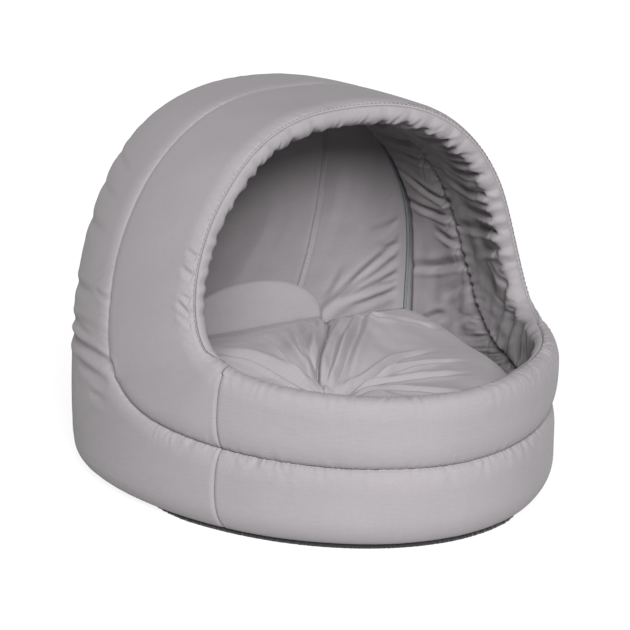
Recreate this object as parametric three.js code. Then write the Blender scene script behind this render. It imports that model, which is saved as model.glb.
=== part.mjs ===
// Soft dog house: a padded oval bed with a two-channel hood and a loose tufted cushion.
// Millimetres. +Z is up, the open mouth faces -Y, the origin is the bottom centre of the whole.
import * as THREE from "three";

// Plan outline of the padded wall, measured on the crests of the padding
const HALF_WIDTH = 200;
const Y_REAR = 184.2;
const Y_FRONT = -184.2;
const Y_WIDEST = 80.2;
const FRONT_POWER = 1.97;
const REAR_POWER = 2.3;
const REAR_REACH = 183.8;

// Hood arch over the plan
const SPRING_Z = 45;
const ARCH_POWER_X = 2.55;
const ARCH_POWER_Z = 2.55;
const REAR_HEIGHT = 324;
const MOUTH_HEIGHT = 335;
const MOUTH_Y = -13;
const REFERENCE_HALF = 190;
const REFERENCE_HEIGHT = 326;

// Padded wall: half its thickness, and what is left of that half at each seam
const HALF_THICK = 12;
const SKIN_GAP = 0.2;
const SEAM_OUT = [9.5, 4.5];
const SEAM_IN = 4.5;
const BASE_OUT = 3.5;
const BASE_IN = 3;
const REAR_OUT = 9;
const REAR_IN = 1.6;
const TUCK = 5;
const TUCK_HEIGHT = 32;
const RIM_REACH = 8;
const RIM_OUT = 10;
const RIM_IN = [7, 12];
const RIM_SEAM_HOOD = 40;
const RIM_SEAM_FRONT = 112;

// Sewing lines, as distance forward along the outline and height up the wall
const BASE_HEIGHT = 4.4;
const CHANNEL = { crown: 82, side: [90, 90], front: 69, corner: [1650, 1650] };
const MOUTH = { crown: 180, side: [193, 187], front: 119, corner: [1300, 400] };

// Where the right side leans in beside the mouth, and where its bumper bulges: place, spread, shift
const LEANS = [
  { at: [205, 185], spread: [45, 60], shift: -5 },
  { at: [310, 116], spread: [55, 38], shift: 4 },
];
const JOIN_AT = 257;
const JOIN_GAP = 0.2;
const Y_SHELL_REAR = 179;
const Y_LINING_SWELL = 164;
const SWELL_SLOPE = 0.8;

// Back panel, its overlocked inner seam and the sole
const Y_BACK_MIDDLE = 173;
const BACK_OUT = 11;
const BACK_IN = 11;
const EDGE_Y = [167.6, 169.5];
const EDGE_DEPTH = [4.2, 10.5];
const BACK_INSET = 3.2;
const SOLE_THICK = 4;
const SOLE_INSET = 14.5;

// Cushion
const CUSHION_CLEAR = 2.2;
const TUFT = [-12, 14];
const TUFT_Z = 60;
const CROWN_RISE = 9;
const SIDE_Z = 77;
const REAR_Z = 94;
const FLAP = { centre: -14, half: 83, base: 96, rise: 42 };
const PLEATS = { count: 11, height: 4 };
const CREASE = { angle: 60, half: 6, depth: 8 };

// Mesh density
const ARCH_STEPS = 19;
const CORNER_STEPS = 8;
const FRONT_STEPS = 11;
const ACROSS = 5;
const ROLL = 3;

// Finishes
const CLOTH = new THREE.MeshStandardMaterial({ color: 0x96919a, roughness: 0.92, metalness: 0 });
CLOTH.name = "grey_cotton";
const INNER = new THREE.MeshStandardMaterial({ color: 0x8a868d, roughness: 0.93, metalness: 0 });
INNER.name = "grey_lining";
const THREAD = new THREE.MeshStandardMaterial({ color: 0x6f8587, roughness: 0.9, metalness: 0 });
THREAD.name = "overlock_thread";
const FELT = new THREE.MeshStandardMaterial({ color: 0x111112, roughness: 0.97, metalness: 0 });
FELT.name = "black_felt";

// Small helpers
const lerp = (a, b, t) => a + (b - a) * t;
const clamp = (v, lo, hi) => Math.min(hi, Math.max(lo, v));
const smooth = (t) => {
  const c = clamp(t, 0, 1);
  return c * c * (3 - 2 * c);
};
const range = (n) => Array.from({ length: n }, (_, i) => i);
const radians = (deg) => (deg * Math.PI) / 180;

// Reads a rising table of [key, value...] rows by straight interpolation
function look(table, key) {
  let lo = 0;
  let hi = table.length - 1;
  while (hi - lo > 1) {
    const mid = (lo + hi) >> 1;
    if (table[mid][0] > key) hi = mid;
    else lo = mid;
  }
  const t = (key - table[lo][0]) / (table[hi][0] - table[lo][0]);
  return table[lo].slice(1).map((v, i) => lerp(v, table[hi][i + 1], t));
}

// Half width of the plan at a station along Y
function halfWidth(y) {
  const behind = y > Y_WIDEST;
  const reach = behind ? REAR_REACH : Y_WIDEST - Y_FRONT;
  const power = behind ? REAR_POWER : FRONT_POWER;
  const r = clamp(Math.abs(y - Y_WIDEST) / reach, 0, 1);
  return HALF_WIDTH * Math.pow(1 - Math.pow(r, power), 1 / power);
}

// Table of distance along the left outline from the rear plane to the front centre
function outlineTable() {
  const points = range(160).map((i) => {
    const y = lerp(Y_REAR + 14, Y_WIDEST, i / 160);
    return [halfWidth(y), y];
  });
  for (const i of range(601)) {
    const a = (Math.PI / 2) * (i / 600);
    const x = HALF_WIDTH * Math.pow(Math.cos(a), 2 / FRONT_POWER);
    const y = Y_WIDEST + (Y_FRONT - Y_WIDEST) * Math.pow(Math.sin(a), 2 / FRONT_POWER);
    points.push([i === 600 ? 0 : x, y]);
  }
  let run = 0;
  const rows = points.map((pt, i) => {
    if (i) run += Math.hypot(pt[0] - points[i - 1][0], pt[1] - points[i - 1][1]);
    return [run, pt[0], pt[1]];
  });
  const start = rows.find((row) => row[2] <= Y_REAR)[0];
  return rows.map(([s, x, y]) => [s - start, x, y]);
}

// Table of distance up the reference arch: fraction of half width, height
function archTable() {
  const points = range(30).map((i) => [1, (SPRING_Z * i) / 30]);
  for (const i of range(601)) {
    const a = (Math.PI / 2) * (i / 600);
    const rise = REFERENCE_HEIGHT - SPRING_Z;
    const across = i === 600 ? 0 : Math.pow(Math.cos(a), 2 / ARCH_POWER_X);
    points.push([across, SPRING_Z + rise * Math.pow(Math.sin(a), 2 / ARCH_POWER_Z)]);
  }
  let run = 0;
  return points.map((pt, i) => {
    if (i) {
      const dx = (pt[0] - points[i - 1][0]) * REFERENCE_HALF;
      run += Math.hypot(dx, pt[1] - points[i - 1][1]);
    }
    return [run, pt[0], pt[1]];
  });
}

const OUTLINE = outlineTable();
const ARCH = archTable();
const P_END = OUTLINE[OUTLINE.length - 1][0];
const Q_END = ARCH[ARCH.length - 1][0];

// Crest surface on the left: p forward along the outline, q up the arch
function crest(p, q) {
  const [x, y] = look(OUTLINE, Math.min(p, P_END));
  const [across, z] = look(ARCH, Math.min(q, Q_END));
  const share = clamp((Y_REAR - y) / (Y_REAR - MOUTH_Y), 0, 1);
  const top = lerp(REAR_HEIGHT, MOUTH_HEIGHT, share);
  const up = z <= SPRING_Z ? z : SPRING_Z + ((z - SPRING_Z) * (top - SPRING_Z))
    / (REFERENCE_HEIGHT - SPRING_Z);
  return new THREE.Vector3(-x * across, y, up);
}

// Point at height h outward of the middle of the wall; side is -1 left, +1 right
function wall(p, q, h, side = -1) {
  const d = 1.5;
  const p0 = clamp(p, OUTLINE[0][0] + d, P_END - d);
  const q0 = clamp(q, d, Q_END - d);
  const along = crest(p0 + d, q0).sub(crest(p0 - d, q0));
  const up = crest(p0, q0 + d).sub(crest(p0, q0 - d));
  const normal = along.cross(up);
  if (p >= P_END - 1e-6 || q >= Q_END - 1e-6) normal.x = 0;
  normal.normalize();
  const tuck = TUCK * Math.pow(1 - clamp(q / TUCK_HEIGHT, 0, 1), 2);
  const point = crest(p, q).addScaledVector(normal, h - HALF_THICK - tuck + lean(p, q, side));
  if (p >= P_END - 1e-6 || q >= Q_END - 1e-6) point.x = 0;
  if (side > 0) point.x = -point.x;
  return point;
}

// Shift of the right side of the wall along its normal: a soft bell round each place
function lean(p, q, side) {
  if (side < 0) return 0;
  return LEANS.reduce((sum, { at, spread, shift }) => {
    const x = (p - at[0]) / spread[0];
    const y = (q - at[1]) / spread[1];
    return sum + shift * Math.exp(-x * x - y * y);
  }, 0);
}

// Distance p at which the wall point of height h lies in the plane y
function reachPlane(q, h, y) {
  let p = 5;
  for (const _ of range(14)) p += (wall(p, q, h).y - y) / 0.9;
  return p;
}

// A sewing line from the crown of the hood, round the corner, to the front centre
function sewingLine({ crown, side: sides, front, corner: corners }, i) {
  const [side, corner] = [sides[i], corners[i]];
  const root = Math.sqrt(corner);
  const level = front - corner / (P_END - side);
  const lead = crown - corner / (Q_END - level);
  const from = Math.log(root / (Q_END - level));
  const to = Math.log((P_END - side) / root);
  const rows = range(401).map((k) => {
    const u = lerp(from, to, k / 400);
    const q = level + root * Math.exp(-u);
    const back = lerp(side, lead, smooth((q - 270) / (Q_END - 270)));
    return [k === 400 ? P_END : back + root * Math.exp(u), k === 0 ? Q_END : q];
  });
  return measured(rows);
}

// Adds the running length to rows of [p, q]
function measured(rows) {
  let run = 0;
  return rows.map((row, i) => {
    if (i) run += Math.hypot(row[0] - rows[i - 1][0], row[1] - rows[i - 1][1]);
    return [run, ...row];
  });
}

// Left and right copies of each line; the two sides of the bed differ a little
const CHANNEL_LINES = [0, 1].map((i) => sewingLine(CHANNEL, i));
const MOUTH_LINES = [0, 1].map((i) => sewingLine(MOUTH, i));

// Running length at which a line passes its corner, and its crossing of the side join
const cornerOf = (line) => line.reduce((a, b) => (a[1] + a[2] < b[1] + b[2] ? a : b))[0];
const joinOf = (line) => line.find((row) => row[1] >= JOIN_AT)[0];

// Chart point of a line at station w: 0 crown, 1 corner, 2 side join, 3 front centre
function onLine(lines, w, side) {
  const line = lines[side < 0 ? 0 : 1];
  const keys = [0, cornerOf(line), joinOf(line), line[line.length - 1][0]];
  const k = Math.min(2, Math.floor(w));
  return look(line, lerp(keys[k], keys[k + 1], w - k));
}

// Chart point of the outer edge of the panel: the rear seam, then the sole seam
function onEdge(w) {
  if (w <= 1) {
    const q = lerp(Q_END, BASE_HEIGHT, w);
    return [reachPlane(q, 0, Y_SHELL_REAR), q];
  }
  const start = reachPlane(BASE_HEIGHT, 0, Y_SHELL_REAR);
  if (w <= 2) return [lerp(start, JOIN_AT, w - 1), BASE_HEIGHT];
  return [lerp(JOIN_AT, P_END, w - 2), BASE_HEIGHT];
}

// Puckers drawn by the sewing, as a small signed height along the stations
function pucker(w, side, scale) {
  const s = w * 9 + (side > 0 ? 2.3 : 0);
  return scale * (0.6 * Math.sin(s * 4.1) + 0.4 * Math.sin(s * 7.7 + 1.3));
}

// Height of a padded channel across its width, 0 and 1 being its seams
function padding(v, edge0, edge1) {
  const rise = HALF_THICK - (edge0 + edge1) / 2;
  return lerp(edge0, edge1, v) + rise * Math.pow(Math.sin(Math.PI * v), 0.65);
}

// Share of the rim roll that the outer cloth covers, in degrees from its outer side
function rimSeam(w) {
  return lerp(RIM_SEAM_HOOD, RIM_SEAM_FRONT, smooth((w - 0.55) / 1.45));
}

// Half thickness of the rim on its inner side, which is thin on the left and full on the right
function rimIn(w, side) {
  const middle = (RIM_IN[0] + RIM_IN[1]) / 2;
  return lerp(middle, RIM_IN[side < 0 ? 0 : 1], smooth(w / 0.6));
}

// Half thickness of the rim towards the angle a: outer side up to 90 degrees, then inner side
function rimHalf(a, w, side) {
  return Math.cos(a) >= 0 ? RIM_OUT : rimIn(w, side);
}

// One cross-section of a cloth: its face row and its hidden row, from the edge to the rim
function section(w, side, outer, nudge) {
  const sign = outer ? 1 : -1;
  const edgeH = w <= 1 ? (outer ? REAR_OUT : REAR_IN) : outer ? BASE_OUT : BASE_IN;
  const seamH = outer ? lerp(...SEAM_OUT, smooth(w / 2)) : SEAM_IN;
  const rimH = outer ? RIM_OUT : rimIn(w, side);
  const [edge, seam, rim] = [onEdge(w), onLine(CHANNEL_LINES, w, side), onLine(MOUTH_LINES, w, side)];
  for (const point of [edge, seam, rim]) point[0] += nudge;
  const ahead = [rim[0] - seam[0], rim[1] - seam[1]];
  const length = Math.hypot(...ahead);
  const unit = ahead.map((c) => c / length);
  const face = [];
  const hidden = [];
  for (const [from, to, e0, e1, skip] of [
    [edge, seam, edgeH, seamH, 0],
    [seam, rim, seamH, rimH, 1],
  ]) {
    for (const k of range(ACROSS + 1).slice(skip)) {
      const v = (1 - Math.cos((Math.PI * k) / ACROSS)) / 2;
      const p = lerp(from[0], to[0], v);
      const q = lerp(from[1], to[1], v);
      const near = skip ? smooth(v * 1.6) : smooth((v - 0.3) * 1.6);
      const fold = pucker(w, side, outer ? 0.4 * near : 1.5 * near);
      const high = outer ? HALF_THICK : REAR_IN + SWELL_SLOPE
        * Math.max(0, Y_LINING_SWELL - wall(p, q, 0).y);
      face.push(wall(p, q, sign * Math.min(padding(v, e0, e1), high) + fold, side));
      hidden.push(wall(p, q, sign * SKIN_GAP, side));
    }
  }
  const split = rimSeam(w);
  const first = outer ? 0 : 180;
  const shift = outer ? -1 : 1;
  for (const k of range(ROLL + 1).slice(1)) {
    const a = radians(lerp(first, split + shift * 1.5, k / ROLL));
    const wave = 1 + (outer ? 0 : pucker(w * 1.7, side, 0.13));
    const roll = [Math.sin(a) * RIM_REACH * wave, Math.cos(a) * rimHalf(a, w, side)];
    face.push(wall(rim[0] + unit[0] * roll[0], rim[1] + unit[1] * roll[0], roll[1], side));
    const b = radians(split);
    const r = (k / ROLL) * 0.86;
    const line = [Math.sin(b) * RIM_REACH * r, Math.cos(b) * rimHalf(b, w, side) * r];
    line[0] -= Math.cos(b) * SKIN_GAP * -shift;
    line[1] -= Math.sin(b) * SKIN_GAP * shift;
    hidden.push(wall(rim[0] + unit[0] * line[0], rim[1] + unit[1] * line[0], line[1], side));
  }
  return { face, hidden };
}

// Closed mesh from rows of points, each row a closed loop, with a strip across both ends
function loopMesh(name, loops, material, half) {
  const m = loops[0].length;
  const points = loops.flat();
  const tris = [];
  const quad = (a, b, c, d) => tris.push(a, b, c, a, c, d);
  for (const i of range(loops.length - 1)) {
    for (const j of range(m)) {
      const k = (j + 1) % m;
      quad(i * m + j, i * m + k, (i + 1) * m + k, (i + 1) * m + j);
    }
  }
  for (const [row, turned] of [[0, true], [loops.length - 1, false]]) {
    const o = row * m;
    for (const j of range(half - 1)) {
      const q = [o + j, o + j + 1, o + m - 2 - j, o + m - 1 - j];
      if (turned) q.reverse();
      quad(...q);
    }
  }
  return solid(name, points, tris, material);
}

// Mesh with its faces turned outward
function solid(name, points, tris, material) {
  let volume = 0;
  for (let i = 0; i < tris.length; i += 3) {
    const [a, b, c] = [points[tris[i]], points[tris[i + 1]], points[tris[i + 2]]];
    volume += a.dot(b.clone().cross(c));
  }
  if (volume < 0) tris.reverse();
  const geometry = new THREE.BufferGeometry();
  const flat = points.flatMap((pt) => [pt.x, pt.y, pt.z]);
  geometry.setAttribute("position", new THREE.Float32BufferAttribute(flat, 3));
  geometry.setIndex(tris);
  geometry.computeVertexNormals();
  const mesh = new THREE.Mesh(geometry, material);
  mesh.name = name;
  return mesh;
}

// Stations of the hood from the left side join over the crown to the right side join
function hoodStations() {
  const corner = range(CORNER_STEPS).map((i) => [2 - i / CORNER_STEPS, -1, i ? 0 : -JOIN_GAP]);
  const arch = range(ARCH_STEPS).map((i) => [1 - i / ARCH_STEPS, -1, 0]);
  const left = [...corner, ...arch];
  return [...left, [0, -1, 0], ...left.map(([w, , n]) => [w, 1, n]).reverse()];
}

// Stations of the front from the left side join to the right side join
function frontStations() {
  const left = range(FRONT_STEPS).map((i) => [2 + i / FRONT_STEPS, -1, i ? 0 : JOIN_GAP]);
  return [...left, [3, -1, 0], ...left.map(([w, , n]) => [w, 1, n]).reverse()];
}

// A shell cloth swept through its stations
function shell(name, stations, outer, material) {
  const loops = stations.map(([w, side, nudge]) => {
    const { face, hidden } = section(w, side, outer, nudge);
    return [...face, ...hidden.reverse()];
  });
  return loopMesh(name, loops, material, loops[0].length / 2);
}

// Arch of the middle of the wall in a plane y, from the left foot to the right foot
function archAt(y, h, steps) {
  const left = range(steps + 1).map((i) => {
    const q = lerp(BASE_HEIGHT, Q_END, i / steps);
    return wall(reachPlane(q, h, y), q, h);
  });
  const right = left.slice(0, -1).reverse().map((pt) => new THREE.Vector3(-pt.x, pt.y, pt.z));
  return [...left, ...right];
}

// Padded back panel: a shallow pillow inside the arch, bulging towards one side
function backPanel(name, yArch, yFlat, edge, bulge, sign, material) {
  const steps = 12;
  const rings = 4;
  const arch = archAt(yArch, -BACK_INSET, steps);
  const foot = arch.map((pt) => new THREE.Vector3(pt.x, pt.y, BASE_HEIGHT));
  const outline = [...arch, ...foot.slice(1, -1).reverse().filter((_, i) => i % 4 === 3)];
  const centre = new THREE.Vector3(0, 0, 140);
  const points = [];
  for (const k of range(rings)) {
    const r = 1 - Math.pow(k / rings, 1.6);
    for (const pt of outline) {
      const depth = Math.pow(1 - r, 0.9) * 1.9;
      const rise = edge + (bulge - edge) * smooth((depth - 0.14) / 0.86);
      const x = pt.x * r;
      const z = lerp(centre.z, pt.z, r);
      points.push(new THREE.Vector3(x, yFlat + sign * rise, z));
    }
  }
  const m = outline.length;
  const tris = [];
  for (const k of range(rings - 1)) {
    for (const j of range(m)) {
      const n = (j + 1) % m;
      const [a, b] = [k * m, (k + 1) * m];
      tris.push(a + j, a + n, b + n, a + j, b + n, b + j);
    }
  }
  points.push(new THREE.Vector3(0, yFlat + sign * bulge, centre.z));
  const top = points.length - 1;
  for (const j of range(m)) tris.push((rings - 1) * m + j, (rings - 1) * m + ((j + 1) % m), top);
  const start = points.length;
  for (const pt of outline) points.push(new THREE.Vector3(pt.x, yFlat, pt.z));
  points.push(new THREE.Vector3(0, yFlat, centre.z));
  const under = points.length - 1;
  for (const j of range(m)) {
    const n = (j + 1) % m;
    tris.push(start + n, start + j, under);
    tris.push(j, start + j, start + n, j, start + n, n);
  }
  return solid(name, points, tris, material);
}

// Overlocked seam edge standing in the inner corner between hood lining and back lining
function seamEdge() {
  const y = (EDGE_Y[0] + EDGE_Y[1]) / 2;
  const [outer, inner] = EDGE_DEPTH.map((depth) => archAt(y, -depth, 20));
  const loops = outer.map((pt, i) => [
    new THREE.Vector3(pt.x, EDGE_Y[0], pt.z),
    new THREE.Vector3(inner[i].x, EDGE_Y[0], inner[i].z),
    new THREE.Vector3(inner[i].x, EDGE_Y[1], inner[i].z),
    new THREE.Vector3(pt.x, EDGE_Y[1], pt.z),
  ]);
  return loopMesh("back_seam_edge", loops, THREAD, 2);
}

// Plan of the wall at an inset from its crest, all the way round, closed across the rear
function planAt(inset, yRear, count) {
  const h = HALF_THICK - inset;
  const start = reachPlane(20, h, yRear);
  const left = range(count + 1).map((i) => wall(lerp(start, P_END, i / count), 20, h));
  return [...left, ...left.slice(0, -1).reverse().map((pt) => new THREE.Vector3(-pt.x, pt.y, 0))];
}

// Flat sole under the whole bed
function sole() {
  const plan = planAt(SOLE_INSET, Y_BACK_MIDDLE + 4, 26);
  const loop = (z) => plan.map((pt) => new THREE.Vector3(pt.x, pt.y, z));
  const points = [...loop(0), ...loop(SOLE_THICK)];
  points.push(new THREE.Vector3(0, 0, 0), new THREE.Vector3(0, 0, SOLE_THICK));
  const m = plan.length;
  const tris = [];
  for (const j of range(m)) {
    const n = (j + 1) % m;
    tris.push(j, n, m + n, j, m + n, m + j);
    tris.push(n, j, 2 * m, m + j, m + n, 2 * m + 1);
  }
  return solid("sole", points, tris, FELT);
}

// Distance from the tuft to the cushion edge in a direction
function cushionReach(angle, plan) {
  const dir = [Math.cos(angle), Math.sin(angle)];
  let best = 0;
  for (const j of range(plan.length)) {
    const a = plan[j];
    const b = plan[(j + 1) % plan.length];
    const e = [b.x - a.x, b.y - a.y];
    const det = dir[0] * -e[1] + dir[1] * e[0];
    const d = [a.x - TUFT[0], a.y - TUFT[1]];
    const r = (d[0] * -e[1] + d[1] * e[0]) / det;
    const t = (dir[0] * d[1] - dir[1] * d[0]) / det;
    if (r > 0 && t >= 0 && t <= 1) best = Math.max(best, r);
  }
  return best;
}

// Filled cushion: a tuft with pleats round it, drawn-in sides and a turned-up rear edge
function cushion() {
  const spokes = 56;
  const plan = planAt(2 * HALF_THICK + CUSHION_CLEAR, Y_BACK_MIDDLE - BACK_IN - CUSHION_CLEAR, 40);
  const rings = [0.07, 0.16, 0.3, 0.46, 0.64, 0.8, 0.91];
  const points = [];
  const row = (make) => {
    for (const i of range(spokes)) {
      const angle = (2 * Math.PI * i) / spokes;
      const reach = cushionReach(angle, plan);
      const rear = smooth((Math.sin(angle) - 0.25) / 0.5);
      points.push(make(angle, reach, lerp(SIDE_Z, REAR_Z, rear)));
    }
  };
  const at = (angle, r, z) =>
    new THREE.Vector3(TUFT[0] + Math.cos(angle) * r, TUFT[1] + Math.sin(angle) * r, z);
  const flapAt = (angle, reach) => {
    const x = TUFT[0] + Math.cos(angle) * reach;
    const s = (x - FLAP.centre) / FLAP.half;
    return Math.sin(angle) > 0 && Math.abs(s) < 1 ? Math.sqrt(1 - s * s) : 0;
  };
  const creaseAt = (angle) => {
    const off = (angle - radians(CREASE.angle)) / radians(CREASE.half);
    return CREASE.depth * Math.exp(-off * off);
  };
  for (const f of rings) {
    row((angle, reach, edgeZ) => {
      const rise = smooth(f / 0.42);
      const crown = edgeZ + CROWN_RISE;
      const dome = lerp(TUFT_Z, crown, rise) - CROWN_RISE * smooth((f - 0.6) / 0.4);
      const wave = Math.cos(PLEATS.count * angle + 1.2 * Math.sin(2 * angle));
      const fold = PLEATS.height * wave * (1 - f) - creaseAt(angle) * (1 - 0.5 * f);
      return at(angle, reach * f, dome + fold * smooth(f * 6));
    });
  }
  const edge = (inset, drop, flapInset, flapZ) =>
    row((angle, reach, edgeZ) => {
      const k = flapAt(angle, reach);
      const on = smooth(k * 3);
      const r = reach - lerp(inset, flapInset / Math.max(0.5, Math.sin(angle)), on);
      const low = drop < 0 ? edgeZ + drop : drop;
      return at(angle, r, lerp(low, flapZ(k), on));
    });
  edge(5, -3, 15, () => FLAP.base + 1);
  edge(2.5, -8, 14, (k) => FLAP.base + 0.6 * FLAP.rise * k);
  edge(1.5, -14, 9, (k) => FLAP.base + FLAP.rise * k);
  edge(0.6, 56, 2.5, (k) => FLAP.base + FLAP.rise * k - 5);
  edge(0, 40, 0.5, () => 70);
  edge(1, 22, 1, () => 22);
  edge(7, 8, 7, () => 8);
  edge(16, 4.6, 16, () => 4.6);
  const count = points.length / spokes;
  points.push(new THREE.Vector3(TUFT[0], TUFT[1], TUFT_Z - 6));
  points.push(new THREE.Vector3(TUFT[0], TUFT[1], 4.6));
  const tris = [];
  for (const j of range(spokes)) {
    const n = (j + 1) % spokes;
    for (const k of range(count - 1)) {
      const [a, b] = [k * spokes, (k + 1) * spokes];
      tris.push(a + j, b + j, b + n, a + j, b + n, a + n);
    }
    tris.push(count * spokes, j, n);
    tris.push(count * spokes + 1, (count - 1) * spokes + n, (count - 1) * spokes + j);
  }
  return solid("cushion", points, tris, CLOTH);
}

const group = new THREE.Group();
group.name = "soft_dog_house";
group.add(sole());
group.add(shell("hood_panel", hoodStations(), true, CLOTH));
group.add(shell("hood_lining", hoodStations(), false, INNER));
group.add(shell("front_panel", frontStations(), true, CLOTH));
group.add(shell("front_lining", frontStations(), false, INNER));
group.add(backPanel("back_panel", 177.5, 173.2, 3, BACK_OUT, 1, CLOTH));
group.add(backPanel("back_lining", 173.5, 172.8, 2.8, BACK_IN, -1, INNER));
group.add(seamEdge());
group.add(cushion());

export default group;
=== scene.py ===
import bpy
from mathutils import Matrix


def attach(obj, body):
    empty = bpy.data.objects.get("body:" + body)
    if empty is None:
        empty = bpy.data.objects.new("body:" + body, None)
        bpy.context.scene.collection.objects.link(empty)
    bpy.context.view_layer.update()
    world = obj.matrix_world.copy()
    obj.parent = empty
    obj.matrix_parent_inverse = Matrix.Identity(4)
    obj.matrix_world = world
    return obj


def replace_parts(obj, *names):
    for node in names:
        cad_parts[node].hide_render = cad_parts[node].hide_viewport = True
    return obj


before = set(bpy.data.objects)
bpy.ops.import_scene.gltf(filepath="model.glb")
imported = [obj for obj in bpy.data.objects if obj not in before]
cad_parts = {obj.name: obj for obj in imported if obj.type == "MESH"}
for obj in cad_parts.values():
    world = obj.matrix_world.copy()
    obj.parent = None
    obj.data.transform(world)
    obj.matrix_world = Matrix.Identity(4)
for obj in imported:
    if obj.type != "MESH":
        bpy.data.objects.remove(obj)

"""Soft dog house: the dressed model, in metres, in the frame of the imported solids.

The padded wall is one surface with two coordinates: p runs forward along the plan from the
rear corner, q runs up the arch. Sewing lines are curves in (p, q), and every cloth is a grid
between them, raised by its padding, gathers and creases. Sizes in the classes are millimetres.
"""

import logging
import math
from dataclasses import dataclass, field
from enum import Enum

import bmesh
import bpy
import numpy as np
from mathutils import Vector

Array = np.ndarray
MM = 0.001
STATIONS = (0, 1, 2, 3)
LOG = logging.getLogger("soft_dog_house")


class Face(Enum):
    """Which cloth of the padded wall: the outer one or the lining."""

    OUTER = 1
    LINING = -1


def smooth(t: Array) -> Array:
    """Cubic ease: 3c^2 - 2c^3 of t held between 0 and 1."""
    c = np.clip(t, 0.0, 1.0)
    return c * c * (3.0 - 2.0 * c)


def quarter(t: Array) -> Array:
    """Quarter circle: the root of 1 - (1 - t)^2, with t held between 0 and 1."""
    c = 1.0 - np.clip(t, 0.0, 1.0)
    return np.sqrt(np.maximum(0.0, 1.0 - c * c))


def bell(x: Array) -> Array:
    """Bell curve: e to the power of minus x squared."""
    return np.exp(-x * x)


def ends_spaced(count: int, share: float = 0.45) -> Array:
    """Values 0 to 1, closer together at both ends: even steps mixed with half of 1 - cos(pi t).

    Args:
        count: how many values.
        share: weight of the cosine part.
    """
    t = np.linspace(0.0, 1.0, count)
    return (1.0 - share) * t + share * (1.0 - np.cos(np.pi * t)) / 2.0


def running(points: Array) -> Array:
    """Running length along rows of points: the summed distances from each to the next."""
    steps = np.linalg.norm(np.diff(points, axis=0), axis=1)
    return np.concatenate([[0.0], np.cumsum(steps)])


def mixed(pair: tuple[Array | float, Array | float], t: Array) -> Array:
    """Value between the two of a pair: the first where t is 0, the second where it is 1."""
    return pair[0] + (pair[1] - pair[0]) * t


def waves(u: Array, v: Array, length: float, seed: int, count: int = 14) -> Array:
    """Smooth seeded unevenness, about -1 to 1: the mean of plane waves in random directions.

    Args:
        u, v: surface coordinates in millimetres.
        length: the typical wave length in millimetres.
        seed: fixes the directions and phases.
        count: how many waves are summed.

    Returns:
        One value for each place.
    """
    rng = np.random.default_rng(seed)
    total = np.zeros(np.broadcast(u, v).shape)
    for _ in range(count):
        turn, phase = rng.uniform(0, 2 * np.pi, 2)
        k = 2 * np.pi / (length * rng.uniform(0.7, 1.5))
        total += np.sin(k * (np.cos(turn) * u + np.sin(turn) * v) + phase)
    return total / math.sqrt(count) * 0.8


def trough(x: Array, ridge: float) -> Array:
    """Cross-section of a fold in filled cloth: a narrow valley, minus e^(-|x|^1.4), between two
    round ridges of the given height at 1.9 half widths."""
    a = np.abs(x)
    return ridge * bell((a - 1.9) / 0.9) - np.exp(-(a**1.4))


@dataclass(frozen=True)
class Gathers:
    """Pleats that sewing has drawn into a cloth beside one seam.

    Attributes:
        span: stretch of the seam that carries them.
        pitch: mean distance between pleats.
        depth: depth of the strongest pleat at the seam.
        reach: how far a typical pleat runs out from the seam.
        lean: how far a pleat wanders sideways for each millimetre from the seam.
        seed: fixes the places, depths and leans.
        tilt: lean that all of them share.
    """

    span: tuple[float, float]
    pitch: float
    depth: float
    reach: float
    lean: float = 0.25
    seed: int = 1
    tilt: float = 0.0

    def height(self, u: Array, d: Array, strength: Array | float = 1.0) -> Array:
        """Height of the pleats: each is a trough along a leaning line that fades with the
        distance from the seam.

        Args:
            u: position along the seam.
            d: distance from the seam.
            strength: factor on the depth, alone or for each point.

        Returns:
            Heights, negative in the pleats.
        """
        rng = np.random.default_rng(self.seed)
        start, end = self.span
        count = max(1, round((end - start) / self.pitch))
        spots = start + (np.arange(count) + rng.uniform(0.05, 0.95, count)) * self.pitch
        total = np.zeros(np.broadcast(u, d).shape)
        close = d < 2.2 * self.reach
        for spot in spots:
            size = rng.uniform(0.2, 1.0) ** 1.3
            lean = rng.normal(self.tilt, self.lean)
            reach = self.reach * rng.uniform(0.5, 1.25)
            bend = rng.normal(0.0, self.lean) * 0.02
            width = self.pitch * rng.uniform(0.12, 0.26)
            wide = width * (1.0 + np.abs(d) / (1.6 * self.reach))
            x = (u - spot - lean * d - bend * d * d) / wide
            near = close & (x * x < 18.0)
            fade = np.exp(-((np.abs(d[near]) / reach) ** 1.6))
            total[near] += size * trough(x[near], 0.5) * fade
        return self.depth * total * strength


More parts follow.
